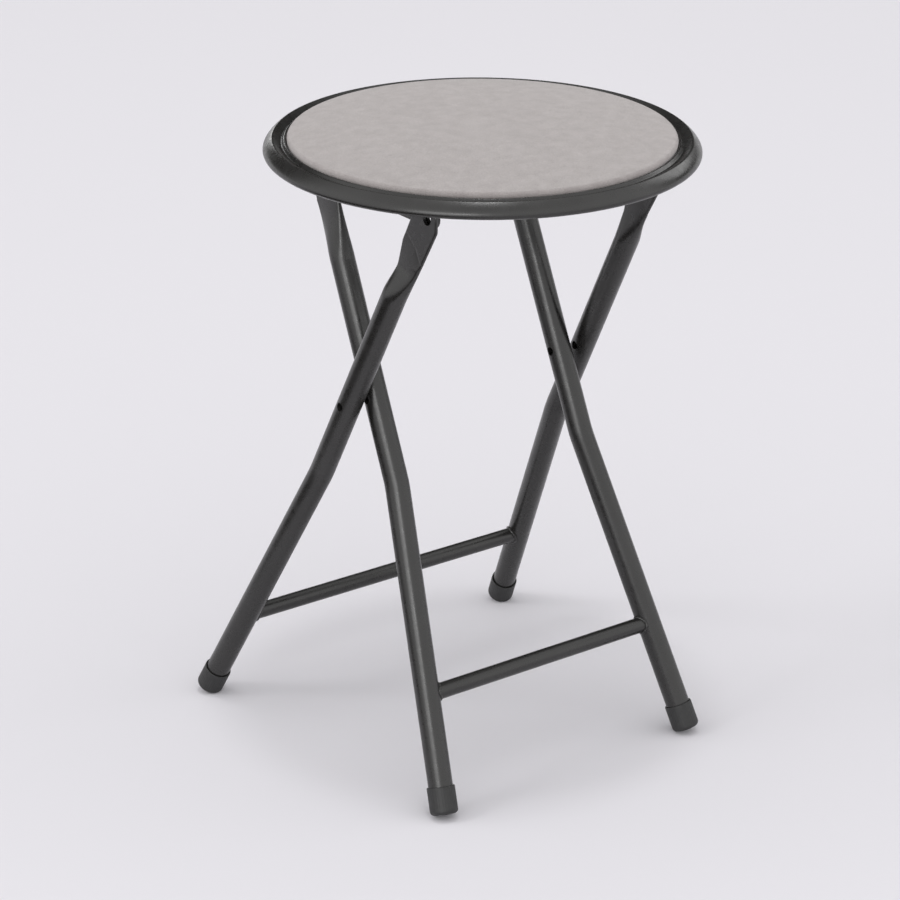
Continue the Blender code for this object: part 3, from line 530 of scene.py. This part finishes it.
def leg_points(leg):
    """Ring points: centre + across times one section value + sideways times the other."""
    centres, below, limits, joint_s = leg_path(leg)
    across = leg_axes(leg)[1]
    angle = np.linspace(0, 2 * np.pi, 120, endpoint=False)[None]
    place = np.cos(angle)
    below = below[:, None]
    widths = [leg[key] for key in ("rear_widths", "front_widths")]
    tables = [np.interp(below / MM, at[::-1], width[::-1]) * MM for at, width in widths]
    width = np.minimum(np.where(place > 0, *tables), limits[:, None])
    start = leg["front_widths"][0][0] * MM
    spread = np.clip((start - below) / (start - leg["dent_ends"][0] * MM), 0, 1)
    flat = flatness(leg, below, place)
    oval_across, oval_side = oval(angle, width)
    a = place * width + spread * (oval_across - place * width)
    b = TUBE_RADIUS * np.sin(angle) * (1 - flat) + oval_side * flat
    fold_line = np.exp(-(((below - at_place(leg["creases"], place)) / (0.9 * MM)) ** 2))
    b -= leg["fold"] * fold_line * (np.sin(angle) > 0.3) * np.sign(b)
    tangent = np.gradient(centres, axis=0)
    tangent /= np.linalg.norm(tangent, axis=1, keepdims=True)
    sideways = np.cross(across, tangent)
    sideways *= np.sign(sideways[:, :1])
    sideways = sideways[:, None] * (1 - flat[..., None]) + flat[..., None] * np.array([1.0, 0, 0])
    plate_x = float(upper_point(leg, joint_s)[0] - leg["plate_inset"])
    points = centres[:, None] + a[..., None] * across + b[..., None] * sideways
    points[..., 0] += flat * (plate_x - centres[:, None, 0])
    ends = [np.broadcast_to(points[i].mean(axis=0), points[i].shape) for i in (0, -1)]
    return np.concatenate([ends[0][None], points, ends[1][None]]), plate_x


outer_points, outer_plate_x = leg_points(OUTER)
print("rings of the outer leg", outer_points.shape, "plate at x", round(outer_plate_x, 4))

# %% [markdown]
# The rivets need real holes, because a hole's edge catches the light. A round tool is taken away from the
# tube by a Boolean modifier, and the result is kept as a mesh.


# %% Drill the legs
def drill(piece, centre, half_length, radius):
    """Cuts a round hole along x and keeps the result in the mesh."""
    low = np.array([radius, -half_length])
    high = np.array([radius, half_length])
    profile = np.array([(0, low[1]), low, high, (0, high[1])])
    tool = grid_object("tool", place(turn(profile, 48), centre, (1, 0, 0), (0, 0, 1)))
    cut = piece.modifiers.new("hole", "BOOLEAN")
    cut.solver = "EXACT"
    cut.object = tool
    graph = bpy.context.evaluated_depsgraph_get()
    drilled = bpy.data.meshes.new_from_object(piece.evaluated_get(graph))
    piece.modifiers.remove(cut)
    piece.data = drilled
    bpy.data.objects.remove(tool)
    tidy_mesh(drilled)


SIDES = {"left": -1, "right": 1}
PIN_HOLE = 3.1 * MM
PLATE_DRILL = 6 * MM
TUBE_DRILL = 12 * MM
for prefix, leg in (("outer", OUTER), ("inner", INNER)):
    points, plate_x = leg_points(leg)
    for side_name, side in SIDES.items():
        piece = grid_object(f"{prefix}_tube_{side_name}", points * [side, 1, 1])
        drill(piece, leg["joint"] + [side * plate_x, 0, 0], PLATE_DRILL, leg["hole_radius"])
        drill(piece, CROSS + [side * leg["half_spacing"], 0, 0], TUBE_DRILL, PIN_HOLE)
        finish_piece(piece, powder, f"{prefix}_frame", "black_powder_coat", f"{prefix}_leg_{side_name}")

# %% [markdown]
# The rungs are thinner tubes, coped to fit the legs and welded all round. The end of a rung follows the
# saddle curve where its cylinder meets the leg's cylinder, and the weld is a small uneven bead on that curve.

# %% Rungs and their welds
RUNG_RADIUS = 5.75 * MM
RUNG_HEIGHT = {"outer": 73.2 * MM, "inner": 78.2 * MM}
BEAD_RADIUS = 1.15


def saddle(leg, height, radius, angle):
    """Where a line along x meets the leg: the nearer root of distance to the leg's axis = tube radius."""
    middle = lower_point(leg, height)
    d = leg_axes(leg)[2]
    y, z = radius * np.cos(angle), radius * np.sin(angle)
    along = y * d[1] + z * d[2]
    a = 1 - d[0] ** 2
    b = -2 * d[0] * along
    c = y**2 + z**2 - along**2 - TUBE_RADIUS**2
    t = (-b - np.sqrt(b**2 - 4 * a * c)) / (2 * a)
    return middle[0] + t, middle[1] + y, middle[2] + z


def rung_points(leg, height):
    """A tube along x whose columns each end on the saddle curve."""
    angle = np.linspace(0, 2 * np.pi, 64, endpoint=False)
    x, y, z = saddle(leg, height, RUNG_RADIUS, angle)
    share = np.linspace(-1, 1, 41)[:, None]
    points = np.stack([share * x, y + 0 * share, z + 0 * share], axis=-1)
    ends = [np.broadcast_to(points[i].mean(axis=0), points[i].shape) for i in (0, -1)]
    return np.concatenate([ends[0][None], points, ends[1][None]])


def weld_points(leg, height, side):
    """A bead round the saddle curve: circles of a slowly changing radius, square to the curve."""
    angle = np.linspace(0, 2 * np.pi, 96, endpoint=False)
    path = np.stack(saddle(leg, height, RUNG_RADIUS + 0.1 * MM, angle), axis=-1)
    path[:, 0] -= 0.25 * MM
    tangent = np.roll(path, -1, axis=0) - np.roll(path, 1, axis=0)
    tangent /= np.linalg.norm(tangent, axis=1, keepdims=True)
    outward = path - lower_point(leg, height)
    outward[:, 0] = 0
    outward /= np.linalg.norm(outward, axis=1, keepdims=True)
    inward = np.cross(tangent, outward)
    turn_angle = np.linspace(0, 2 * np.pi, 12, endpoint=False)[None, :, None]
    uneven = BEAD_RADIUS + 0.12 * np.sin(9 * angle) + 0.06 * np.sin(23 * angle + 1)
    circle = np.cos(turn_angle) * outward[:, None] + np.sin(turn_angle) * inward[:, None]
    return (path[:, None] + uneven[:, None, None] * MM * circle) * [side, 1, 1]


for prefix, leg in (("outer", OUTER), ("inner", INNER)):
    height = RUNG_HEIGHT[prefix]
    rung = grid_object(f"{prefix}_cross_tube", rung_points(leg, height))
    finish_piece(rung, powder, f"{prefix}_frame", "black_powder_coat", f"{prefix}_rung")
    for side_name, side in SIDES.items():
        bead = grid_object(f"{prefix}_weld_{side_name}", weld_points(leg, height, side), wrap_rows=True)
        finish_piece(bead, powder, f"{prefix}_frame", "black_powder_coat")

# %% [markdown]
# The foot caps are pushed over the tube ends. Faint flutes run down their sides, left by the moulding tool,
# and the mouth has a small rounded lip.

# %% Foot caps
CAP_BORE = 8.95 * MM
CAP_FLOOR = 3.5 * MM
FLUTES = 36
FLUTE_DEPTH = 0.010
WALL_ROWS = 14
cap_profile = round_corners(
    [
        (0, CAP_FLOOR),
        (CAP_BORE, CAP_FLOOR),
        (CAP_BORE, CAP_LENGTH),
        (CAP_RADIUS, CAP_LENGTH),
        (CAP_RADIUS, 0),
        (0, 0),
    ],
    [0.5 * MM, 0.4 * MM, 0.5 * MM, CAP_CORNER],
    8,
)
straight = np.linspace(CAP_LENGTH - 1.2 * MM, CAP_CORNER + 0.5 * MM, WALL_ROWS)
wall = np.stack([np.full(WALL_ROWS, CAP_RADIUS), straight], axis=1)
cut = int(np.argmax(cap_profile[:, 0] >= CAP_RADIUS - 1e-9)) + 1
cap_profile = np.vstack([cap_profile[:cut], wall, cap_profile[cut:]])


def flutes(angle, profile):
    """Shallow grooves on the outer wall: the radius drops a little, FLUTES times round, between its ends."""
    height = profile[:, 1:]
    on_wall = (profile[:, :1] > CAP_RADIUS - 0.01 * MM) & (height > 2.6 * MM) & (height < CAP_LENGTH - 1 * MM)
    return 1 - on_wall * FLUTE_DEPTH * (0.5 - 0.5 * np.cos(FLUTES * angle)) ** 2


for prefix, leg in (("outer", OUTER), ("inner", INNER)):
    end, down = cap_end(leg), leg_axes(leg)[2]
    for side_name, side in SIDES.items():
        mirror = np.array([side, 1, 1])
        points = place(turn(cap_profile, 216, flutes), end * mirror, -down * mirror, (0, 0, -1))
        cap = grid_object(f"{prefix}_cap_{side_name}", points)
        finish_piece(cap, polythene, f"{prefix}_frame", "black_plastic", f"{prefix}_foot_{side_name}")

# %% [markdown]
# Where the legs cross, a solid rivet with a domed head at each end holds them, with a plastic spacer between
# the tubes and a washer under the inner head. Each is a profile turned about the line of the rivet.
#
# Known fault: this cell and the next call place() with an axis along x and leave its start along x too, so
# these ten pieces come out as NaN and don't show. A start such as (0, 0, 1) would give them their shape.

# %% Rivets, spacers and washers
PIN_RADIUS = 3.0 * MM
HEAD_RADIUS = 5.0 * MM
HEAD_HEIGHT = 2.4 * MM
GAP = 0.3 * MM
CROSS_BORE = 3.17 * MM
SPACER_RADIUS = 6.5 * MM
SPACER_LENGTH = 4.3 * MM
WASHER_RADIUS = 6.2 * MM
WASHER = 1.0 * MM
outer_face = OUTER["half_spacing"] + TUBE_RADIUS + GAP
inner_face = INNER["half_spacing"] - TUBE_RADIUS - WASHER - 2 * GAP
dome_angle = np.radians(np.linspace(90, 8, 10))
dome = np.stack([HEAD_RADIUS * np.cos(dome_angle), HEAD_HEIGHT * np.sin(dome_angle)], axis=1)
rivet_profile = np.vstack(
    [
        dome + [0, outer_face],
        [(HEAD_RADIUS, outer_face), (PIN_RADIUS, outer_face)],
        [(PIN_RADIUS, inner_face), (HEAD_RADIUS, inner_face)],
        dome[::-1] * [1, -1] + [0, inner_face],
    ]
)


def ring_profile(bore, radius, low, high, rounding):
    """A ring's section with rounded outer corners, as a closed loop."""
    middle = (low + high) / 2
    corners = [(bore, middle), (bore, high), (radius, high), (radius, low), (bore, low), (bore, middle)]
    return round_corners(corners, [0, rounding, rounding, 0], 4)[:-1]


for side_name, side in SIDES.items():
    points = place(turn(rivet_profile, 48), CROSS, (side, 0, 0))
    rivet = grid_object(f"crossing_rivet_{side_name}", points)
    finish_piece(rivet, powder, "outer_frame", "black_powder_coat", f"cross_rivet_{side_name}")
    low = INNER["half_spacing"] + TUBE_RADIUS + GAP
    section = ring_profile(CROSS_BORE, SPACER_RADIUS, low, low + SPACER_LENGTH, 0.5 * MM)
    points = place(turn(section, 48), CROSS, (side, 0, 0))
    spacer = grid_object(f"crossing_spacer_{side_name}", points, wrap_rows=True)
    finish_piece(spacer, polythene, "outer_frame", "black_plastic", f"cross_spacer_{side_name}")
    low = inner_face + GAP
    section = ring_profile(CROSS_BORE, WASHER_RADIUS, low, low + WASHER, 0.3 * MM)
    points = place(turn(section, 48), CROSS, (side, 0, 0))
    washer = grid_object(f"crossing_washer_{side_name}", points, wrap_rows=True)
    finish_piece(washer, powder, "outer_frame", "bare_steel", f"cross_washer_{side_name}")

# %% [markdown]
# The seat turns on hollow rivets, whose rolled edges lie flat on the leg tops. A thin plastic washer keeps
# each leg top off its rail. The section is a closed loop, so its rows are joined into a ring as well.

# %% Hollow rivets of the seat hinge
HINGE_BORE = 3.6 * MM
HINGE_TUBE = 4.4 * MM
HINGE_FLANGE = 5.9 * MM
FLANGE = 1 * MM
RAIL_AND_WASHER = 3.2 * MM
HINGE_WASHER = 0.6 * MM
HINGE_WASHER_BORE = 4.57 * MM
HINGE_WASHER_RADIUS = 6.6 * MM
hinge_out = outer_plate_x + PLATE_HALF_THICKNESS + GAP
hinge_in = outer_plate_x - PLATE_HALF_THICKNESS - RAIL_AND_WASHER - GAP
eyelet = [
    (HINGE_BORE, (hinge_in + hinge_out) / 2),
    (HINGE_BORE, hinge_out + FLANGE),
    (HINGE_FLANGE, hinge_out + FLANGE),
    (HINGE_FLANGE, hinge_out),
    (HINGE_TUBE, hinge_out),
    (HINGE_TUBE, hinge_in),
    (HINGE_FLANGE, hinge_in),
    (HINGE_FLANGE, hinge_in - FLANGE),
    (HINGE_BORE, hinge_in - FLANGE),
    (HINGE_BORE, (hinge_in + hinge_out) / 2),
]
roll = [radius * MM for radius in (0.9, 0.45, 0.3, 0.2, 0.2, 0.3, 0.45, 0.9)]
eyelet = round_corners(eyelet, roll, 6)[:-1]
for side_name, side in SIDES.items():
    points = place(turn(eyelet, 64), HINGE, (side, 0, 0))
    piece = grid_object(f"seat_eyelet_{side_name}", points, wrap_rows=True)
    finish_piece(piece, powder, "outer_frame", "black_powder_coat", f"hinge_rivet_{side_name}")
    high = outer_plate_x - PLATE_HALF_THICKNESS - GAP
    section = ring_profile(HINGE_WASHER_BORE, HINGE_WASHER_RADIUS, high - HINGE_WASHER, high, 0.15 * MM)
    points = place(turn(section, 64), HINGE, (side, 0, 0))
    washer = grid_object(f"seat_washer_{side_name}", points, wrap_rows=True)
    finish_piece(washer, polythene, "outer_frame", "black_plastic", f"hinge_washer_{side_name}")

# %% [markdown]
# The pan is pressed from 1 mm sheet. From the middle outwards: a flat floor under the pad, a short wall, a
# small lip, a shelf that slopes up to the crest, and the rolled rim with its hem turned in underneath. The
# crest turns tightly, so that it draws a thin bright line, and the face beyond it falls in one long curve.

# %% Profile of the pan
UNDERSIDE = 436.7 * MM
SHEET = 1.0 * MM
SEAT_RADIUS = 150.0 * MM
CREST = np.array([143.3, 444.9]) * MM
CREST_RADIUS = 1.5 * MM
FACE_CORNER = np.array([150.0, 440.0]) * MM
WIDEST = 436.7 * MM
SHELF_FOOT = np.array([137.2, 442.1]) * MM
LIP = np.array([135.0, 443.1]) * MM
LIP_RADIUS = 1.1 * MM
WALL = LIP[0] - LIP_RADIUS
FILLET = 2 * MM
VALLEY = 1.4 * MM
HEM_CENTRE = (146.5 * MM, WIDEST)
HEM_WIDTH = 3.5 * MM
HEM_DROP = 3.0 * MM
HEM_END = [(144.0 * MM, 433.75 * MM), (141.9 * MM, 434.03 * MM)]


def arc(centre, width, height, first, last, steps):
    """An ellipse's arc between two angles in degrees."""
    angle = np.radians(np.linspace(first, last, steps + 1))
    return np.stack([centre[0] + width * np.cos(angle), centre[1] + height * np.sin(angle)], axis=1)


def curve(start, corner, end, steps):
    """Points of a quadratic curve, (1-t)^2 start + 2t(1-t) corner + t^2 end."""
    t = np.linspace(0, 1, steps + 1)[:, None]
    return (1 - t) ** 2 * np.array(start) + 2 * t * (1 - t) * np.array(corner) + t**2 * np.array(end)


floor = UNDERSIDE + SHEET
crest_turn = arc(CREST - [0, CREST_RADIUS], CREST_RADIUS, CREST_RADIUS, 118, 52, 10)
pan_profile = np.vstack(
    [
        [(0, floor), (0.4 * WALL, floor), (0.8 * WALL, floor)],
        arc((WALL - FILLET, floor + FILLET), FILLET, FILLET, -90, 0, 6),
        arc(LIP, LIP_RADIUS, LIP_RADIUS, 180, 45, 12),
        arc(SHELF_FOOT + [0.6 * MM, VALLEY], VALLEY, VALLEY, 225, 290, 8),
        crest_turn,
        curve(crest_turn[-1], FACE_CORNER, (SEAT_RADIUS, WIDEST), 22)[1:],
        arc(HEM_CENTRE, HEM_WIDTH, HEM_DROP, -6, -90, 16),
        HEM_END,
    ]
)
pan = grid_object("pressed_pan", turn(pan_profile, 288) + SEAT_CENTRE, sharp_degrees=60)
solidify = pan.modifiers.new("sheet", "SOLIDIFY")
solidify.thickness = SHEET
solidify.offset = -1
finish_piece(pan, powder, "seat", "black_powder_coat", "seat_pan")

# %% [markdown]
# The pad is foam glued to a board, with the velvet pulled over the edge and stapled underneath. Air and foam
# push the cloth up from inside, and the staples hold its edge down. A short cloth simulation with pressure
# gives the soft swell: the hem and the side are pinned, and the top is free.

# %% Shape of the pad before the simulation
PAD_RADIUS = WALL - 0.3 * MM
PAD_SIDE = PAD_RADIUS - 0.8 * MM
PAD_CORNER = 2 * MM
PAD_BASE = floor + 0.3 * MM
PAD_TOP = PAD_BASE + 14.8 * MM
CROWN = 4.8 * MM
SHOULDER = 4.0 * MM
shoulder_top = PAD_TOP - CROWN
share = np.concatenate([np.linspace(0, 0.9, 31), [0.93, 0.96, 0.98, 1.0]])
pad_profile = np.vstack(
    [
        np.stack([share * (PAD_RADIUS - SHOULDER), shoulder_top + CROWN * (1 - share**2)], axis=1),
        arc((PAD_RADIUS - SHOULDER, shoulder_top - SHOULDER), SHOULDER, SHOULDER, 84, 0, 10),
        arc((PAD_SIDE - PAD_CORNER, PAD_BASE + PAD_CORNER), PAD_CORNER, PAD_CORNER, 0, -90, 5),
        [(PAD_SIDE * 0.8, PAD_BASE), (PAD_SIDE * 0.4, PAD_BASE), (0, PAD_BASE)],
    ]
)
cover = grid_object("velvet_cover", turn(pad_profile, 160) + SEAT_CENTRE)
print("cover before simulation", len(cover.data.vertices), "points")

# %% [markdown]
# The simulation runs for 20 frames with gravity off. Its result is read back, each point's move is cut to a
# limit, and the modifier is removed, so that the piece ends as a plain mesh.

# %% Swell the cover by a cloth simulation
SWELL_LIMIT = 1.2 * MM


def mesh_points(mesh):
    """All vertex positions of a mesh as an array."""
    flat = np.empty(3 * len(mesh.vertices), np.float32)
    mesh.vertices.foreach_get("co", flat)
    return flat.reshape(-1, 3).astype(float)


def swell(piece, frames=20):
    """Runs cloth with inner pressure on the free top, and moves each point no further than the limit."""
    before = mesh_points(piece.data)
    edge = np.hypot(before[:, 0] - SEAT_CENTRE[0], before[:, 1] - SEAT_CENTRE[1])
    fixed = (before[:, 2] < shoulder_top - 0.5 * MM) | (edge > PAD_RADIUS - 0.6 * SHOULDER)
    group = piece.vertex_groups.new(name="pinned")
    group.add(np.flatnonzero(fixed).tolist(), 1.0, "REPLACE")
    cloth = piece.modifiers.new("swell", "CLOTH")
    cloth.settings.vertex_group_mass = "pinned"
    cloth.settings.use_pressure = True
    cloth.settings.uniform_pressure_force = 4
    cloth.settings.effector_weights.gravity = 0
    cloth.settings.tension_stiffness = 30
    cloth.settings.bending_stiffness = 2
    cloth.point_cache.frame_start = 1
    cloth.point_cache.frame_end = frames
    scene = bpy.context.scene
    for number in range(1, frames + 1):
        scene.frame_set(number)
    graph = bpy.context.evaluated_depsgraph_get()
    after = mesh_points(piece.evaluated_get(graph).data)
    move = after - before
    length = np.linalg.norm(move, axis=1, keepdims=True)
    move *= np.minimum(1, SWELL_LIMIT / np.maximum(length, 1e-9))
    piece.modifiers.remove(cloth)
    piece.vertex_groups.remove(group)
    scene.frame_set(1)
    piece.data.vertices.foreach_set("co", (before + move).astype(np.float32).ravel())
    piece.data.update()
    return float(length.max())


print("cloth moved up to", round(swell(cover) / MM, 2), "mm before the limit")
subdivision = cover.modifiers.new("smooth", "SUBSURF")
subdivision.levels = subdivision.render_levels = 1
finish_piece(cover, velvet, "seat", "velvet_cover", "pad_cover")

# %% [markdown]
# What is left keeps its solid, and gets its finish: the rails and screws under the pan, the rod with its
# collars, and the foam and board inside the pad.

# %% Finishes of the solids that stay
for name, node in frame["nodes"].items():
    finish = None
    if name.startswith("seat_rail"):
        finish = powder
    elif name.startswith(("rail_screw", "rod_collar", "hook_rod")):
        finish = zinc
    elif name == "pad_foam":
        finish = foam
    elif name == "pad_board":
        finish = plywood
    if finish:
        node.data.materials.clear()
        node.data.materials.append(finish)
        print(name, "is", finish.name)

# %% [markdown]
# The stool stands in a studio on a pale, slightly cool sweep of painted board.

# %% Floor
floor_material = new_material("pale_sweep", "#E5E3E8", 0.9, Specular_IOR_Level=0.2)[0]
mesh = bpy.data.meshes.new("floor")
mesh.from_pydata([(-6, -6, 0), (6, -6, 0), (6, 6, 0), (-6, 6, 0)], [], [(0, 1, 2, 3)])
ground = bpy.data.objects.new("floor", mesh)
bpy.context.scene.collection.objects.link(ground)
mesh.materials.append(floor_material)
ground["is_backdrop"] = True

# %% [markdown]
# Dark metal shows its form by what it mirrors. Photographers lay a black card beside it to draw a dark band
# along the tubes. This one shows in reflections alone, so the floor stays pale and keeps its light.

# %% Black card
CARD = [(-1.6, -0.7, 0.004), (-0.42, -0.7, 0.004), (-0.42, 0.75, 0.004), (-1.6, 0.75, 0.004)]
card_material = new_material("black_card", "#161616", 0.9, Specular_IOR_Level=0.0)[0]
mesh = bpy.data.meshes.new("black_card")
mesh.from_pydata(CARD, [], [(0, 1, 2, 3)])
card = bpy.data.objects.new("black_card", mesh)
bpy.context.scene.collection.objects.link(card)
mesh.materials.append(card_material)
card.visible_camera = card.visible_diffuse = card.visible_shadow = False
card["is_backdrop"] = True

# %% [markdown]
# The room is bright in front and dark behind above the horizon, which gives the tubes a dark side. To the
# camera the room is one plain pale tone. The backdrop direction is the way that the camera looks.

# %% World
TOWARDS_BACKDROP = (0.595, 0.804, 0)
scene = bpy.context.scene
world = bpy.data.worlds.new("studio")
scene.world = world
world.use_nodes = True
background = world.node_tree.nodes["Background"]
background.inputs["Strength"].default_value = 1.4
tree = world.node_tree
direction = add_node(tree, "ShaderNodeTexCoord").outputs["Generated"]
height = add_node(tree, "ShaderNodeSeparateXYZ", Vector=direction).outputs["Z"]
in_front = ramp(tree, height, [(0.0, "#ECECEC"), (0.6, "#F4F4F4"), (1.0, "#D2D2D2")])
behind = ramp(
    tree,
    height,
    [(0.0, "#D8D8D8"), (0.03, "#D8D8D8"), (0.1, "#2C2C2C"), (0.6, "#3C3C3C"), (0.85, "#D2D2D2")],
)
towards_back = add_node(
    tree, "ShaderNodeVectorMath", {"operation": "DOT_PRODUCT", 1: TOWARDS_BACKDROP}, Vector=direction
).outputs["Value"]
back_share = add_node(
    tree,
    "ShaderNodeMapRange",
    {"interpolation_type": "SMOOTHSTEP", "From Min": 0.1, "From Max": 0.6},
    Value=towards_back,
).outputs["Result"]
studio = add_node(tree, "ShaderNodeMix", {"data_type": "RGBA"})
for socket, value in ((0, back_share), (6, in_front), (7, behind)):
    tree.links.new(value, studio.inputs[socket])
seen = add_node(tree, "ShaderNodeMix", {"data_type": "RGBA"})
seen.inputs[7].default_value = linear("#C5C3C8")
tree.links.new(add_node(tree, "ShaderNodeLightPath").outputs["Is Camera Ray"], seen.inputs[0])
tree.links.new(studio.outputs[2], seen.inputs[6])
tree.links.new(seen.outputs[2], background.inputs["Color"])
print("room strength", background.inputs["Strength"].default_value)

# %% [markdown]
# A small lamp overhead gives the seat's round shadow on the floor, and a weak far light from the left gives
# the feet theirs. The other lamps are softboxes that only the metal mirrors.


# %% Lamps
def add_softbox(name, location, target, size, power, lights=False):
    """A square area lamp that looks at its target. Most show in reflections alone and light nothing else."""
    lamp = bpy.data.lights.new(name, "AREA")
    lamp.size = size
    lamp.energy = power
    piece = bpy.data.objects.new(name, lamp)
    piece.location = location
    piece.rotation_euler = (Vector(target) - Vector(location)).to_track_quat("-Z", "Y").to_euler()
    piece.visible_camera = False
    piece.visible_diffuse = lights
    scene.collection.objects.link(piece)


def add_far_light(name, direction, spread, strength):
    """Even light from one direction that reflections don't show. The spread in degrees softens its shadow."""
    lamp = bpy.data.lights.new(name, "SUN")
    lamp.angle = np.radians(spread)
    lamp.energy = strength
    piece = bpy.data.objects.new(name, lamp)
    piece.rotation_euler = Vector(direction).to_track_quat("Z", "Y").to_euler()
    piece.visible_glossy = False
    scene.collection.objects.link(piece)


add_far_light("key", (-1.9, 0.7, 1.7), 14, 0.3)
add_softbox("overhead", (-0.09, -0.18, 3.0), (0, 0, 0), 0.25, 9, lights=True)
add_softbox("window", (-2.0, -1.3, 1.0), (0, 0, 0.3), 1.2, 12)
add_softbox("strip", (-1.75, -1.75, 1.2), (0, 0, 0.3), 0.5, 3.5)
add_softbox("side", (2.0, 0.2, 1.5), (0, 0, 0.3), 1.0, 7)
add_softbox("rear", (0.64, 2.3, 0.82), (0, 0, 0.44), 0.5, 2.6)
scene.view_settings.view_transform = "Standard"

# %% [markdown]
# The camera stands in front, to the left and a little above, with a long lens, turned by a small roll.

# %% Camera
LENS_MM = 125.33
AZIMUTH, ELEVATION, ROLL = np.radians([-36.489, 22.754, 0.363])
CAMERA_FROM_SEAT = np.array([-1.23795, -1.63862, 1.07361])
level = np.array([np.sin(AZIMUTH), -np.cos(AZIMUTH), 0])
back = level * np.cos(ELEVATION) + [0, 0, np.sin(ELEVATION)]
right = np.array([np.cos(AZIMUTH), np.sin(AZIMUTH), 0])
upward = np.cross(back, right)
rolled_right = np.cos(ROLL) * right + np.sin(ROLL) * upward
rolled_up = np.cos(ROLL) * upward - np.sin(ROLL) * right
camera = bpy.data.objects.new("camera", bpy.data.cameras.new("camera"))
scene.collection.objects.link(camera)
camera.data.lens = LENS_MM
camera.data.sensor_width = 36
camera.data.clip_end = 50
camera.matrix_world = Matrix.Translation(SEAT_CENTRE + CAMERA_FROM_SEAT) @ Matrix(
    np.stack([rolled_right, rolled_up, back], axis=1).tolist()
).to_4x4()
scene.camera = camera
print("camera at", [round(v, 3) for v in camera.location])

# %% [markdown]
# Last, the box of the finished pieces is measured.

# %% Size of the finished pieces, and the end
low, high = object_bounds()
